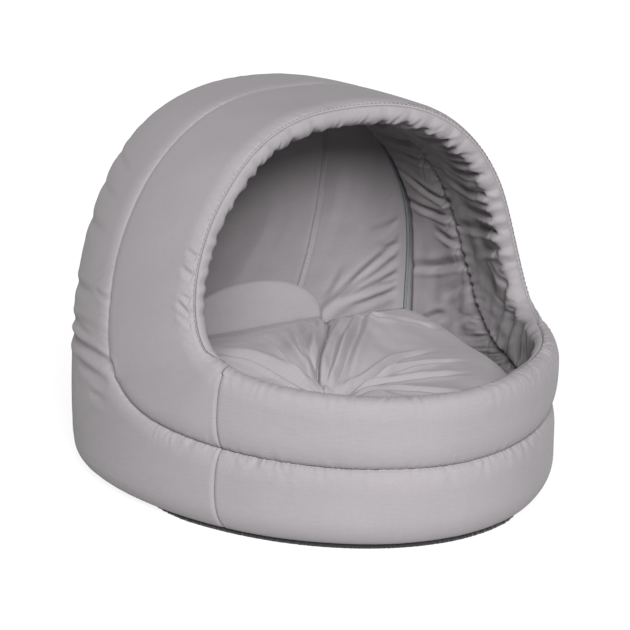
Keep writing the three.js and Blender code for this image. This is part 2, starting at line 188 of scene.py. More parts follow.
@dataclass(frozen=True)
class Crease:
    """One fold laid through a few points of a cloth.

    Attributes:
        points: (along, across) places that it passes, in millimetres.
        depth: depth of its valley, or a height where negative.
        width: half width of the valley.
        root: share of the depth that is left at its first point.
        tip: share of the depth that is left at its last point.
        ridge: height of the ridges beside it, as a share of the depth.
    """

    points: tuple[tuple[float, float], ...]
    depth: float
    width: float
    root: float = 0.0
    tip: float = 0.0
    ridge: float = 0.5

    def path(self) -> Array:
        """Points with their corners cut three times, at a quarter and three quarters."""
        line = np.array(self.points, float)
        for _ in range(3 if len(line) > 2 else 0):
            a, b = line[:-1], line[1:]
            cut = np.stack([0.75 * a + 0.25 * b, 0.25 * a + 0.75 * b], 1).reshape(-1, 2)
            line = np.concatenate([line[:1], cut, line[-1:]])
        return line

    def height(self, u: Array, v: Array) -> Array:
        """Height of the fold: its depth times the trough of the distance from the line, eased
        to the root and tip shares at the ends.

        Args:
            u, v: coordinates of the cloth, in the same sizes as the points.

        Returns:
            Heights, negative in the valley.
        """
        line = self.path()
        total = np.zeros(np.broadcast(u, v).shape)
        pad = 4.0 * self.width
        low, high = line.min(axis=0) - pad, line.max(axis=0) + pad
        near = (u > low[0]) & (u < high[0]) & (v > low[1]) & (v < high[1])
        if not near.any():
            return total
        at = np.stack([u[near], v[near]], -1)[:, None]
        a, e = line[:-1][None], np.diff(line, axis=0)[None]
        size = (e * e).sum(-1)
        t = np.clip(((at - a) * e).sum(-1) / size, 0.0, 1.0)
        off = at - a - t[..., None] * e
        away = np.hypot(off[..., 0], off[..., 1])
        best = away.argmin(axis=1)
        rows = np.arange(len(best))
        run = running(line)
        share = (run[best] + t[rows, best] * np.sqrt(size[0, best])) / run[-1]
        turn = e[0, best, 0] * off[rows, best, 1] - e[0, best, 1] * off[rows, best, 0]
        x = away[rows, best] / self.width * np.where(turn > 0, 1.25, 0.85)
        into = self.root + (1.0 - self.root) * smooth(share / 0.3)
        out = self.tip + (1.0 - self.tip) * smooth((1.0 - share) / 0.5)
        total[near] = self.depth * into * out * trough(x, self.ridge)
        return total


def gathered(h: Array, rows: tuple, at: "Chart", shares: dict[str, Array | float]) -> Array:
    """Height with rows of gathers added.

    Args:
        h: height before them.
        rows: the rows, each a SewnRow.
        at: places in the channel.
        shares: strengths by name.

    Returns:
        Height after them.
    """
    for row in rows:
        away = getattr(at, row.away) + row.shift
        h = h + row.gathers.height(getattr(at, row.along), away, shares[row.share])
    return h


def creased(creases: tuple[Crease, ...], u: Array, v: Array) -> Array:
    """Summed height of several creases."""
    return sum((crease.height(u, v) for crease in creases), np.zeros(np.broadcast(u, v).shape))


@dataclass
class BedForm:
    """The padded wall as a surface, with the sewing lines on it.

    Attributes:
        half_width: half the width of the plan at its widest.
        y_rear, y_front: planes of the plan's rear side and of its front.
        y_widest: plane in which it is widest.
        front_power, rear_power: powers of the superellipses ahead of there and behind.
        rear_reach: length of the rear one.
        spring_z: height at which the arch leaves the upright.
        arch_power_x, arch_power_z: powers of the arch across and up.
        rear_height, mouth_height: height of the crown at the rear and at the mouth.
        mouth_y: plane of the mouth's crown.
        reference_half, reference_height: sizes of the arch that q is measured on.
        half_thick: half the thickness of the padding.
        tuck: how far the wall is drawn in at the sole.
        tuck_height: height at which that starts.
        base_height: height of the sole seam.
        join_at: distance along the plan of the side join.
        y_shell_rear: plane of the rear seam.
        back_leans: how far the inner back wall leans in at the top.
        channel: the channel seam at the crown, at the side and at the front.
        channel_corner: product that rounds its corner.
        mouth_sides: where the mouth line goes down, left and right.
        mouth_ends: the mouth line at the crown and at the front.
        mouth_corners: products that round its corners, left and right.
        leans: places where the right side leaves the left's shape: p, q, reach along, reach
            up, and shift. It leans in beside the mouth and bulges out at the bumper.
        outline: rows of (p, x, y) along the plan.
        arch: rows of (q, share of the half width, height).
        lines: rows of (length, p, q) of each sewing line, by name and side.
    """

    half_width: float = 200.0
    y_rear: float = 184.2
    y_front: float = -184.2
    y_widest: float = 80.2
    front_power: float = 1.97
    rear_power: float = 2.3
    rear_reach: float = 183.8
    spring_z: float = 45.0
    arch_power_x: float = 2.55
    arch_power_z: float = 2.55
    rear_height: float = 324.0
    mouth_height: float = 335.0
    mouth_y: float = -13.0
    reference_half: float = 190.0
    reference_height: float = 326.0
    half_thick: float = 12.0
    tuck: float = 5.0
    tuck_height: float = 32.0
    base_height: float = 4.4
    join_at: float = 257.0
    y_shell_rear: float = 179.0
    back_leans: float = 14.0
    channel: tuple[float, float, float] = (82.0, 90.0, 69.0)
    channel_corner: float = 1650.0
    mouth_sides: tuple[float, float] = (193.0, 187.0)
    mouth_ends: tuple[float, float] = (180.0, 119.0)
    mouth_corners: tuple[float, float] = (1300.0, 400.0)
    leans: tuple[tuple[float, ...], ...] = (
        (205.0, 185.0, 45.0, 60.0, -5.0),
        (310.0, 116.0, 55.0, 38.0, 4.0),
    )
    outline: Array = field(init=False)
    arch: Array = field(init=False)
    lines: dict[tuple[str, int], Array] = field(init=False)

    def __post_init__(self) -> None:
        """Works out the tables of the outline, the arch and the sewing lines."""
        self.outline = self._outline()
        self.arch = self._arch()
        crown, front = self.mouth_ends
        self.lines = {}
        for i in (0, 1):
            self.lines["channel", i] = self._sewing_line(*self.channel, self.channel_corner)
            self.lines["mouth", i] = self._sewing_line(
                crown, self.mouth_sides[i], front, self.mouth_corners[i]
            )

    @property
    def p_end(self) -> float:
        """Distance along the outline at the front centre."""
        return float(self.outline[-1, 0])

    @property
    def q_end(self) -> float:
        """Distance up the arch at its crown."""
        return float(self.arch[-1, 0])

    def width_at(self, y: Array) -> Array:
        """Half width of the plan at y: a superellipse ahead of the widest plane and another
        behind it."""
        behind = y > self.y_widest
        reach = np.where(behind, self.rear_reach, self.y_widest - self.y_front)
        power = np.where(behind, self.rear_power, self.front_power)
        r = np.clip(np.abs(y - self.y_widest) / reach, 0.0, 1.0)
        return self.half_width * (1.0 - r**power) ** (1.0 / power)

    def _outline(self) -> Array:
        """Rows of (p, x, y) from behind the rear corner to the front centre."""
        y0 = np.linspace(self.y_rear + 14.0, self.y_widest, 160, endpoint=False)
        a = np.linspace(0.0, np.pi / 2, 1401)
        x1 = self.half_width * np.cos(a) ** (2 / self.front_power)
        x1[-1] = 0.0
        y1 = self.y_widest + (self.y_front - self.y_widest) * np.sin(a) ** (2 / self.front_power)
        xy = np.column_stack([np.concatenate([self.width_at(y0), x1]), np.concatenate([y0, y1])])
        run = running(xy)
        start = run[np.argmax(xy[:, 1] <= self.y_rear)]
        return np.column_stack([run - start, xy])

    def _arch(self) -> Array:
        """Rows of (q, share of the half width, height) up the reference arch."""
        a = np.linspace(0.0, np.pi / 2, 1401)
        across = np.cos(a) ** (2 / self.arch_power_x)
        across[-1] = 0.0
        rise = (self.reference_height - self.spring_z) * np.sin(a) ** (2 / self.arch_power_z)
        x = np.concatenate([np.ones(30), across])
        foot = np.linspace(0, self.spring_z, 30, endpoint=False)
        z = np.concatenate([foot, rise + self.spring_z])
        run = running(np.column_stack([x * self.reference_half, z]))
        return np.column_stack([run, x, z])

    def crest(self, p: Array, q: Array) -> Array:
        """Crest of the padding on the left side: the plan point at p, drawn in and lifted by
        the arch at q."""
        x = np.interp(p, self.outline[:, 0], self.outline[:, 1])
        y = np.interp(p, self.outline[:, 0], self.outline[:, 2])
        share = np.interp(q, self.arch[:, 0], self.arch[:, 1])
        z = np.interp(q, self.arch[:, 0], self.arch[:, 2])
        ahead = np.clip((self.y_rear - y) / (self.y_rear - self.mouth_y), 0.0, 1.0)
        top = self.rear_height + (self.mouth_height - self.rear_height) * ahead
        scale = (top - self.spring_z) / (self.reference_height - self.spring_z)
        z = np.where(z <= self.spring_z, z, self.spring_z + (z - self.spring_z) * scale)
        return np.stack([-x * share, y, z], axis=-1)

    def normal(self, p: Array, q: Array, side: Array) -> Array:
        """Outward unit normal: the cross product of the steps along p and along q."""
        d = 1.5
        p0 = np.clip(p, self.outline[0, 0] + d, self.p_end - d)
        q0 = np.clip(q, d, self.q_end - d)
        along = self.crest(p0 + d, q0) - self.crest(p0 - d, q0)
        up = self.crest(p0, q0 + d) - self.crest(p0, q0 - d)
        n = np.cross(along, up)
        n /= np.linalg.norm(n, axis=-1, keepdims=True)
        centre = np.minimum(smooth((self.p_end - p) / 9.0), smooth((self.q_end - q) / 9.0))
        n[..., 0] *= centre
        n /= np.linalg.norm(n, axis=-1, keepdims=True)
        n[..., 0] *= -side
        return n

    def lean(self, p: Array, q: Array, side: Array) -> Array:
        """Shift of the right side along its normal: a soft bell round each place."""
        total = np.zeros(np.broadcast(p, q).shape)
        for p0, q0, wide, high, shift in self.leans:
            total = total + shift * bell(np.hypot((p - p0) / wide, (q - q0) / high))
        return np.where(side > 0, total, 0.0)

    def wall(self, p: Array, q: Array, h: Array, side: Array) -> Array:
        """Point of the wall, tucked in near the sole.

        Args:
            p: distance along the plan.
            q: distance up the arch.
            h: height outward of the middle of the wall.
            side: -1 on the left, 1 on the right.

        Returns:
            Points, with their coordinates in the last axis.
        """
        p, q, h, side = np.broadcast_arrays(*(np.asarray(a, float) for a in (p, q, h, side)))
        point = self.crest(p, q)
        point[..., 0] *= -side
        tuck = self.tuck * (1.0 - np.clip(q / self.tuck_height, 0.0, 1.0)) ** 2
        out = h - self.half_thick - tuck + self.lean(p, q, side)
        return point + self.normal(p, q, side) * out[..., None]

    def reach_plane(self, q: Array, h: float, y: float) -> Array:
        """Distance p at which the wall point of height h lies in the plane y, closed in on by
        steps of the distance still missing.

        Args:
            q: distances up the arch.
            h: height outward of the middle of the wall.
            y: the plane, one for all or one for each.

        Returns:
            One distance for each q.
        """
        p = np.full(np.shape(q), 5.0)
        for _ in range(14):
            p = p + (self.wall(p, q, h, -1.0)[..., 1] - y) / 0.9
        return p

    def _sewing_line(self, crown: float, side: float, front: float, corner: float) -> Array:
        """Line of a seam: a hyperbola, (p - side)(q - level) = corner, that leans back a
        little over the crown.

        Args:
            crown: p at the crown.
            side: p that it nears on its way down.
            front: q at the front centre.
            corner: product that rounds its corner.

        Returns:
            Rows of (length, p, q).
        """
        root = math.sqrt(corner)
        level = front - corner / (self.p_end - side)
        lead = crown - corner / (self.q_end - level)
        first = math.log(root / (self.q_end - level))
        u = np.linspace(first, math.log((self.p_end - side) / root), 1601)
        q = level + root * np.exp(-u)
        lean = side + (lead - side) * smooth((q - 270.0) / (self.q_end - 270.0))
        pq = np.column_stack([lean + root * np.exp(u), q])
        pq[0, 1], pq[-1, 0] = self.q_end, self.p_end
        return np.column_stack([running(pq), pq])

    def keys(self, name: str, i: int) -> list[float]:
        """Lengths at which a line passes stations 0 crown, 1 corner, 2 side join, 3 front."""
        line = self.lines[name, i]
        turn = line[np.argmin(line[:, 1] + line[:, 2]), 0]
        join = np.interp(self.join_at, line[:, 1], line[:, 0])
        return [0.0, float(turn), float(join), float(line[-1, 0])]

    def on_line(self, name: str, w: Array, side: Array) -> Array:
        """Rows of (length, p, q) at stations w: 0 crown, 1 corner, 2 side join, 3 front."""
        out = np.zeros((len(w), 3))
        for i, sign in enumerate((-1, 1)):
            line = self.lines[name, i]
            run = np.interp(w, STATIONS, self.keys(name, i))
            rows = np.column_stack([run, *(np.interp(run, line[:, 0], line[:, k]) for k in (1, 2))])
            out = np.where((side == sign)[:, None], rows, out)
        return out

    def on_edge(self, w: Array) -> Array:
        """Rows of (p, q) on the rear seam up to station 1, then on the sole seam."""
        q = np.where(w <= 1, self.q_end + (self.base_height - self.q_end) * w, self.base_height)
        rear = self.reach_plane(q, 0.0, self.y_shell_rear)
        foot = float(self.reach_plane(np.array([self.base_height]), 0.0, self.y_shell_rear)[0])
        along = np.interp(w, [1, 2, 3], [foot, self.join_at, self.p_end])
        return np.column_stack([np.where(w <= 1, rear, along), q])

    def back_lean(self, z: Array) -> Array:
        """How far the inner back wall leans in at height z: an ease up to its full lean."""
        return self.back_leans * smooth((z - 70.0) / 150.0)

    def arch_at(self, y: float, h: float, count: int, leaning: bool = False) -> Array:
        """Arch of the wall in one plane, from the left foot to the right.

        Args:
            y: the plane.
            h: height outward of the middle of the wall.
            count: points on each side.
            leaning: whether the plane leans in with the inner back wall.

        Returns:
            (2 count - 1, 3) points.
        """
        q = np.linspace(self.base_height, self.q_end, count)
        z = np.interp(q, self.arch[:, 0], self.arch[:, 2])
        plane = y - (self.back_lean(z) if leaning else 0.0)
        left = self.wall(self.reach_plane(q, h, plane), q, h, -1.0)
        right = left[-2::-1] * np.array([-1.0, 1.0, 1.0])
        return np.concatenate([left, right])

    def plan_at(
        self, insets: tuple[Array | float, Array | float], y_rear: float, q: float, count: int
    ) -> Array:
        """Closed plan at an inset from the crest, starting and ending across the rear.

        Args:
            insets: left and right inset, one for all points or one for each.
            y_rear: plane of the rear side.
            q: height up the wall at which the plan is taken.
            count: points on each side.

        Returns:
            (2 count - 1, 3) points.
        """
        first = self.half_thick - float(np.broadcast_to(insets[0], count)[0])
        start = float(self.reach_plane(np.array([q]), first, y_rear)[0])
        p = np.linspace(start, self.p_end, count)
        left, right = (self.wall(p, q, self.half_thick - inset, -1.0) for inset in insets)
        return np.concatenate([left, right[-2::-1] * np.array([-1.0, 1.0, 1.0])])


class Maker:
    """Puts worked-out points into Blender meshes."""

    @staticmethod
    def mesh(name: str, verts: Array, faces: list, uv: Array | None = None) -> bpy.types.Object:
        """Object from points in millimetres, shaded smooth, with its faces turned outward.

        Args:
            name: name of the object.
            verts: (N, 3) points.
            faces: lists of point numbers.
            uv: (N, 2) surface coordinates in millimetres, or None.

        Returns:
            The linked object.
        """
        data = bpy.data.meshes.new(name)
        data.from_pydata((verts * MM).tolist(), [], faces)
        data.validate()
        if uv is not None:
            layer = data.uv_layers.new(name="UVMap")
            index = np.zeros(len(data.loops), np.int32)
            data.loops.foreach_get("vertex_index", index)
            layer.data.foreach_set("uv", (uv[index] * MM).astype(np.float32).ravel())
        data.polygons.foreach_set("use_smooth", [True] * len(data.polygons))
        obj = bpy.data.objects.new(name, data)
        bpy.context.scene.collection.objects.link(obj)
        Maker.face_out(data)
        return obj

    @staticmethod
    def face_out(data: bpy.types.Mesh) -> None:
        """Turns a closed mesh outward if its signed volume is negative."""
        bm = bmesh.new()
        bm.from_mesh(data)
        if bm.calc_volume(signed=True) < 0:
            bmesh.ops.reverse_faces(bm, faces=bm.faces)
            bm.to_mesh(data)
        bm.free()
        data.update()

    @staticmethod
    def quads(rows: int, cols: int) -> Array:
        """Quads between rows of closed rings, as an (M, 4) array."""
        i, j = np.meshgrid(np.arange(rows - 1), np.arange(cols), indexing="ij")
        n = (j + 1) % cols
        corners = [i * cols + j, i * cols + n, (i + 1) * cols + n, (i + 1) * cols + j]
        return np.stack(corners, -1).reshape(-1, 4)

    @staticmethod
    def ring_faces(rows: int, cols: int) -> list:
        """Quads between rows of closed rings, with one cap over each end."""
        last = (rows - 1) * cols
        caps = [list(range(cols))[::-1], list(range(last, last + cols))]
        return Maker.quads(rows, cols).tolist() + caps

    @staticmethod
    def polar_faces(rings: int, spokes: int) -> list:
        """Quads between closed rings, with a fan to a last point before and after them."""
        k = np.arange(spokes)
        m = (k + 1) % spokes
        top, bottom, o = rings * spokes, rings * spokes + 1, (rings - 1) * spokes
        fan = np.column_stack([np.full(spokes, top), m, k])
        under = np.column_stack([np.full(spokes, bottom), o + k, o + m])
        return Maker.quads(rings, spokes).tolist() + fan.tolist() + under.tolist()

    @staticmethod
    def stitches(
        name: str, at: Array, along: Array, out: Array, length: float, radius: float
    ) -> bpy.types.Object:
        """Row of sewn stitches: each is a short bead of thread, thicker at its middle, that
        dips into the cloth at both ends.

        Args:
            name: name of the object.
            at: (S, 3) middles of the stitches.
            along: (S, 3) unit directions of the thread.
            out: (S, 3) unit directions out of the cloth.
            length: length of a stitch.
            radius: radius of the thread.

        Returns:
            One object that holds all the beads.
        """
        rings, spokes = 5, 6
        t = np.linspace(-1.0, 1.0, rings)
        a = np.arange(spokes) * 2 * np.pi / spokes
        thick = radius * np.sqrt(np.maximum(0.05, 1 - t**4))
        lift = radius * (0.9 - 2.2 * t**4)
        across = np.cross(along, out)
        centre = at[:, None] + along[:, None] * (t * length / 2)[:, None]
        centre = centre + out[:, None] * lift[:, None]
        ring = np.cos(a)[:, None] * across[:, None] + np.sin(a)[:, None] * out[:, None]
        points = centre[:, :, None] + ring[:, None] * thick[None, :, None, None]
        count = rings * spokes
        starts = np.arange(len(at)) * count
        quads = (Maker.quads(rings, spokes)[None] + starts[:, None, None]).reshape(-1, 4)
        first = (starts[:, None] + np.arange(spokes)[::-1]).tolist()
        last = (starts[:, None] + np.arange(count - spokes, count)).tolist()
        verts = points.reshape(-1, 3)
        return Maker.mesh(name, verts, quads.tolist() + first + last, verts[:, :2])


class Nodes:
    """Shorthand for building one material's node tree."""

    def __init__(self, name: str) -> None:
        """Starts a material with its usual shader."""
        self.material = bpy.data.materials.new(name)
        self.material.use_nodes = True
        self.tree = self.material.node_tree
        self.shader = self.tree.nodes["Principled BSDF"]

    def set(self, **values: float) -> None:
        """Sets the shader's own sockets; an underscore stands for a space."""
        for key, value in values.items():
            self.shader.inputs[key.replace("_", " ")].default_value = value

    def math(self, kind: str, a: object, b: object = 0.0) -> bpy.types.NodeSocket:
        """Math node of two sockets or numbers."""
        node = self.tree.nodes.new("ShaderNodeMath")
        node.operation = kind
        for socket, value in zip(node.inputs, (a, b)):
            if isinstance(value, (int, float)):
                socket.default_value = value
            else:
                self.tree.links.new(value, socket)
        return node.outputs["Value"]

    def noise(
        self, where: bpy.types.NodeSocket, scale: tuple[float, float, float], detail: float, shift: float
    ) -> bpy.types.NodeSocket:
        """Noise on the given coordinates.

        Args:
            where: the coordinates.
            scale: scale in each direction.
            detail: octaves of the noise.
            shift: moves it, so that no two agree.

        Returns:
            The noise's value.
        """
        turn = self.tree.nodes.new("ShaderNodeMapping")
        turn.inputs["Scale"].default_value = scale
        turn.inputs["Location"].default_value = (shift, shift * 0.37, shift)
        tex = self.tree.nodes.new("ShaderNodeTexNoise")
        tex.inputs["Scale"].default_value = 1.0
        tex.inputs["Detail"].default_value = detail
        tex.inputs["Roughness"].default_value = 0.6
        self.tree.links.new(where, turn.inputs["Vector"])
        self.tree.links.new(turn.outputs["Vector"], tex.inputs["Vector"])
        return tex.outputs["Fac"]

    def scaled(self, colour: tuple[float, float, float], by: bpy.types.NodeSocket) -> None:
        """Base colour: one colour times a shade."""
        mix = self.tree.nodes.new("ShaderNodeVectorMath")
        mix.operation = "SCALE"
        mix.inputs[0].default_value = colour
        self.tree.links.new(by, mix.inputs["Scale"])
        self.tree.links.new(mix.outputs["Vector"], self.shader.inputs["Base Color"])

    def bump(self, height: bpy.types.NodeSocket, distance: float, strength: float) -> None:
        """Fine relief from a height."""
        bump = self.tree.nodes.new("ShaderNodeBump")
        bump.inputs["Strength"].default_value = strength
        bump.inputs["Distance"].default_value = distance * MM
        self.tree.links.new(height, bump.inputs["Height"])
        self.tree.links.new(bump.outputs["Normal"], self.shader.inputs["Normal"])


@dataclass(frozen=True)
class ClothFinish:
    """Plain-woven cloth with uneven threads.

    Attributes:
        name: name of the material.
        slot: slot of the record that it follows; not used.
        colour: linear base colour.
        slub: contrast of the uneven threads.
        mottle: contrast of the broad, faint patches.
        pitch: distance between threads in millimetres.
        relief: height of the weave in millimetres.
        roughness: roughness of the shader.
        sheen: weight of the soft glow at grazing angles.
    """

    name: str
    slot: str
    colour: tuple[float, float, float]
    slub: float = 0.075
    mottle: float = 0.06
    pitch: float = 0.75
    relief: float = 0.14
    roughness: float = 0.88
    sheen: float = 0.06

    def build(self) -> bpy.types.Material:
        """Material whose threads run along both directions of the piece's own UV map: two
        stretched noises for the slubs, the weft's the weaker, a broad one for the mottling, a
        fine one for the grain and two sines for the weave."""
        kit = Nodes(self.name)
        kit.set(Roughness=self.roughness, Sheen_Weight=self.sheen, Sheen_Roughness=0.5)
        kit.set(Specular_IOR_Level=0.25)
        uv = kit.tree.nodes.new("ShaderNodeUVMap")
        uv.uv_map = "UVMap"
        long_run, short_run = 1 / 0.02, 1 / 0.0009
        warp = kit.noise(uv.outputs["UV"], (long_run, short_run, 1.0), 2.0, 0.0)
        weft = kit.noise(uv.outputs["UV"], (short_run, long_run, 1.0), 2.0, 5.3)
        broad = kit.noise(uv.outputs["UV"], (16.0, 16.0, 1.0), 3.0, 9.1)
        grain = kit.noise(uv.outputs["UV"], (900.0, 900.0, 1.0), 1.0, 2.7)
        threads = kit.math("SUBTRACT", kit.math("ADD", warp, kit.math("MULTIPLY", weft, 0.4)), 0.7)
        fine = kit.math("MULTIPLY", kit.math("SUBTRACT", grain, 0.5), self.slub * 1.6)
        wide = kit.math("MULTIPLY", kit.math("SUBTRACT", broad, 0.5), self.mottle * 2.0)
        shade = kit.math("ADD", kit.math("MULTIPLY", threads, self.slub * 2.2), wide)
        kit.scaled(self.colour, kit.math("ADD", kit.math("ADD", shade, fine), 1.0))
        split = kit.tree.nodes.new("ShaderNodeSeparateXYZ")
        kit.tree.links.new(uv.outputs["UV"], split.inputs["Vector"])
        rate = 2 * math.pi / (self.pitch * MM)
        rows, cols = (kit.math("SINE", kit.math("MULTIPLY", split.outputs[a], rate)) for a in "XY")
        weave = kit.math("MULTIPLY", kit.math("MULTIPLY", rows, cols), 0.35)
        kit.bump(kit.math("ADD", weave, kit.math("MULTIPLY", threads, 2.2)), self.relief, 0.55)
        return kit.material


@dataclass(frozen=True)
class FeltFinish:
    """Matted fibre: a dark, fuzzy non-woven."""

    name: str
    slot: str
    colour: tuple[float, float, float]
    scale: float = 900.0
    relief: float = 0.6

    def build(self) -> bpy.types.Material:
        """Material with noise in object coordinates for fibre colour and relief."""
        kit = Nodes(self.name)
        kit.set(Roughness=0.95, Sheen_Weight=0.2, Specular_IOR_Level=0.12)
        where = kit.tree.nodes.new("ShaderNodeTexCoord").outputs["Object"]
        fibre = kit.noise(where, (self.scale,) * 3, 4.0, 0.0)
        kit.scaled(self.colour, kit.math("ADD", kit.math("MULTIPLY", fibre, 2.4), 0.1))
        kit.bump(fibre, self.relief, 0.8)
        return kit.material


@dataclass
class Finishes:
    """All finishes of the bed, built once."""

    cotton: ClothFinish = ClothFinish("grey_cotton", "grey_cotton", (0.165, 0.1545, 0.162))
    lining: ClothFinish = ClothFinish("grey_lining", "grey_lining", (0.157, 0.147, 0.154))
    # The channel seam's thread is painted about a third as bright as the grey cotton that it follows:
    # painted shade for the shadow line in the seam's groove and at its stitch puckers.
    seam_thread_painted_shade: ClothFinish = ClothFinish(
        "seam_thread_painted_shade", "grey_cotton", (0.05, 0.047, 0.05), 0.2, 0.0, 0.4
    )
    rim_thread: ClothFinish = ClothFinish(
        "rim_thread", "grey_lining", (0.1, 0.094, 0.098), 0.2, 0.0, 0.4
    )
    overlock: ClothFinish = ClothFinish(
        "overlock_thread", "overlock_thread", (0.1, 0.12, 0.122), 0.3, 0.1, 0.5, 0.3
    )
    felt: FeltFinish = FeltFinish("black_felt", "black_felt", (0.008, 0.008, 0.009))
    built: dict[str, bpy.types.Material] = field(default_factory=dict)

    def dress(self, obj: bpy.types.Object, finish: ClothFinish | FeltFinish) -> bpy.types.Object:
        """Gives the piece its material and its body."""
        if finish.name not in self.built:
            self.built[finish.name] = finish.build()
        obj.data.materials.clear()
        obj.data.materials.append(self.built[finish.name])
        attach(obj, "root")
        return obj


# Folds of the hood's rear channel outside: from the rear seam forward, (p, q)
OUTER_CREASES = (
    Crease(((-5, 287), (22, 281), (58, 276), (79, 271)), 1.3, 5.0, 1.0, 0.0, 0.12),
    Crease(((-5, 256), (26, 251), (59, 250), (87, 246)), 1.3, 5.0, 1.0, 0.0, 0.12),
    Crease(((-5, 222), (21, 219), (67, 220), (91, 218)), 1.6, 6.0, 1.0, 0.0, 0.15),
    Crease(((-5, 160), (22, 163), (73, 167), (100, 168)), 1.7, 5.0, 1.0, 0.0, 0.3),
    Crease(((76, 172), (109, 170)), 1.1, 2.6, 0.0, 0.4),
    Crease(((-5, 126), (24, 131), (78, 140), (105, 141)), 1.8, 5.0, 1.0, 0.2, 0.4),
    Crease(((36, 130), (94, 133)), 1.5, 3.6),
    Crease(((-5, 114), (48, 119), (93, 121), (124, 117)), 3.0, 4.4, 0.5, 0.7),
    Crease(((50, 104), (114, 102)), 1.8, 4.4, 0.0, 0.3),
    Crease(((84, 84), (124, 85)), 1.2, 4.0),
    Crease(((195, 230), (212, 225)), 1.2, 2.2, 0.0, 0.8),
    Crease(((194, 216), (219, 207)), 1.6, 2.4, 0.0, 0.8),
    Crease(((199, 194), (222, 190)), 1.2, 2.0, 0.0, 0.8),
    Crease(((199, 190), (217, 178)), 1.4, 2.2, 0.0, 0.8),
    Crease(((202, 180), (221, 171)), 1.1, 2.0, 0.0, 0.8),
)

# Slits at the rim's inner crest: distance along the mouth from the crown, left negative, and
# distance in from the mouth line
RIM_SLITS = (
    Crease(((-9, -12), (-12, -4), (-15, 5)), 2, 1.7, 0.2, 0.6, 0.6),
    Crease(((-36, -10), (-39, -2), (-42, 6)), 1.8, 1.5, 0.2, 0.6, 0.6),
    Crease(((-79, -14), (-84, -6), (-86, 4)), 2.1, 1.7, 0.2, 0.6, 0.6),
    Crease(((-106, -14), (-111, -6), (-113, 4)), 2.1, 1.7, 0.2, 0.6, 0.6),
    Crease(((-162, -14), (-169, -8), (-172, 2)), 2, 1.7, 0.2, 0.6, 0.6),
    Crease(((-208, -10), (-208, 2)), 1.6, 1.5, 0.2, 0.6, 0.6),
    Crease(((-244, -8), (-245, 4)), 1.6, 1.5, 0.2, 0.6, 0.6),
    Crease(((20, -14), (15, -6), (12, 6)), 1.4, 1.9, 0.2, 0.6, 0.6),
    Crease(((54, -14), (46, -6), (43, 6)), 1.6, 2.1, 0.2, 0.6, 0.6),
    Crease(((80, -16), (71, -6), (66, 8)), 2, 2.4, 0.2, 0.8, 0.6),
    Crease(((98, -14), (89, -5), (84, 8)), 1.5, 2.1, 0.2, 0.8, 0.6),
    Crease(((126, -16), (116, -6), (112, 8)), 1.9, 2.4, 0.2, 0.8, 0.6),
    Crease(((148, -14), (138, -5), (133, 8)), 1.6, 2.1, 0.2, 0.8, 0.6),
    Crease(((178, -16), (167, -6), (163, 10)), 2.1, 2.6, 0.2, 0.8, 0.6),
    Crease(((203, -14), (193, -4), (189, 8)), 1.7, 2.2, 0.2, 0.8, 0.6),
    Crease(((242, -16), (233, -4), (230, 8)), 1.8, 2.4, 0.2, 0.8, 0.6),
    Crease(((262, -14), (255, -2), (252, 8)), 1.6, 2.4, 0.2, 0.8, 0.6),
)

# Folds of the hood lining's mouth channel, from the rim inward, (p, q)
MOUTH_CREASES = (
    Crease(((226, 250), (160, 240), (126, 247), (112, 260)), 3.2, 4.2, 0.6),
    Crease(((208, 267), (160, 266), (126, 274)), 2.9, 4, 0.8),
    Crease(((231, 208), (190, 205), (158, 199), (112, 191)), 4, 4.2, 0.6, 0.3),
    Crease(((230, 198), (196, 186), (160, 178), (132, 164)), 2.9, 4, 0.5),
    Crease(((227, 183), (206, 174), (185, 168)), 2.9, 3, 0.6),
    Crease(((229, 221), (170, 219), (116, 216)), 2.7, 4, 0.5),
    Crease(((208, 283), (165, 280), (147, 282)), 2.6, 3.6, 0.8),
    Crease(((206, 289), (168, 293), (137, 300)), 2.7, 3.8, 0.8),
    Crease(((219, 327), (178, 318), (112, 316)), 3.4, 4.4, 0.7),
    Crease(((216, 308), (185, 306), (150, 309)), 2.4, 3.6, 0.7),
    Crease(((208, 347), (181, 350), (130, 346)), 3.2, 4.4, 0.8),
    Crease(((210, 372), (178, 372), (120, 364)), 2.9, 4.4, 0.8),
    Crease(((208, 396), (175, 398), (120, 396)), 2.6, 4.4, 0.8),
    Crease(((229, 236), (200, 232), (170, 232)), 2.1, 3.4, 0.6),
    Crease(((273, 146), (273, 128), (272, 104)), 3.2, 5, 0.8),
    Crease(((251, 150), (240, 120), (227, 86)), 2.4, 6, 0.7, 0.5),
    Crease(((226, 158), (212, 122), (195, 88)), 2.1, 6, 0.7, 0.6),
    Crease(((208, 168), (190, 135), (170, 100)), 1.9, 6, 0.6, 0.6),
)

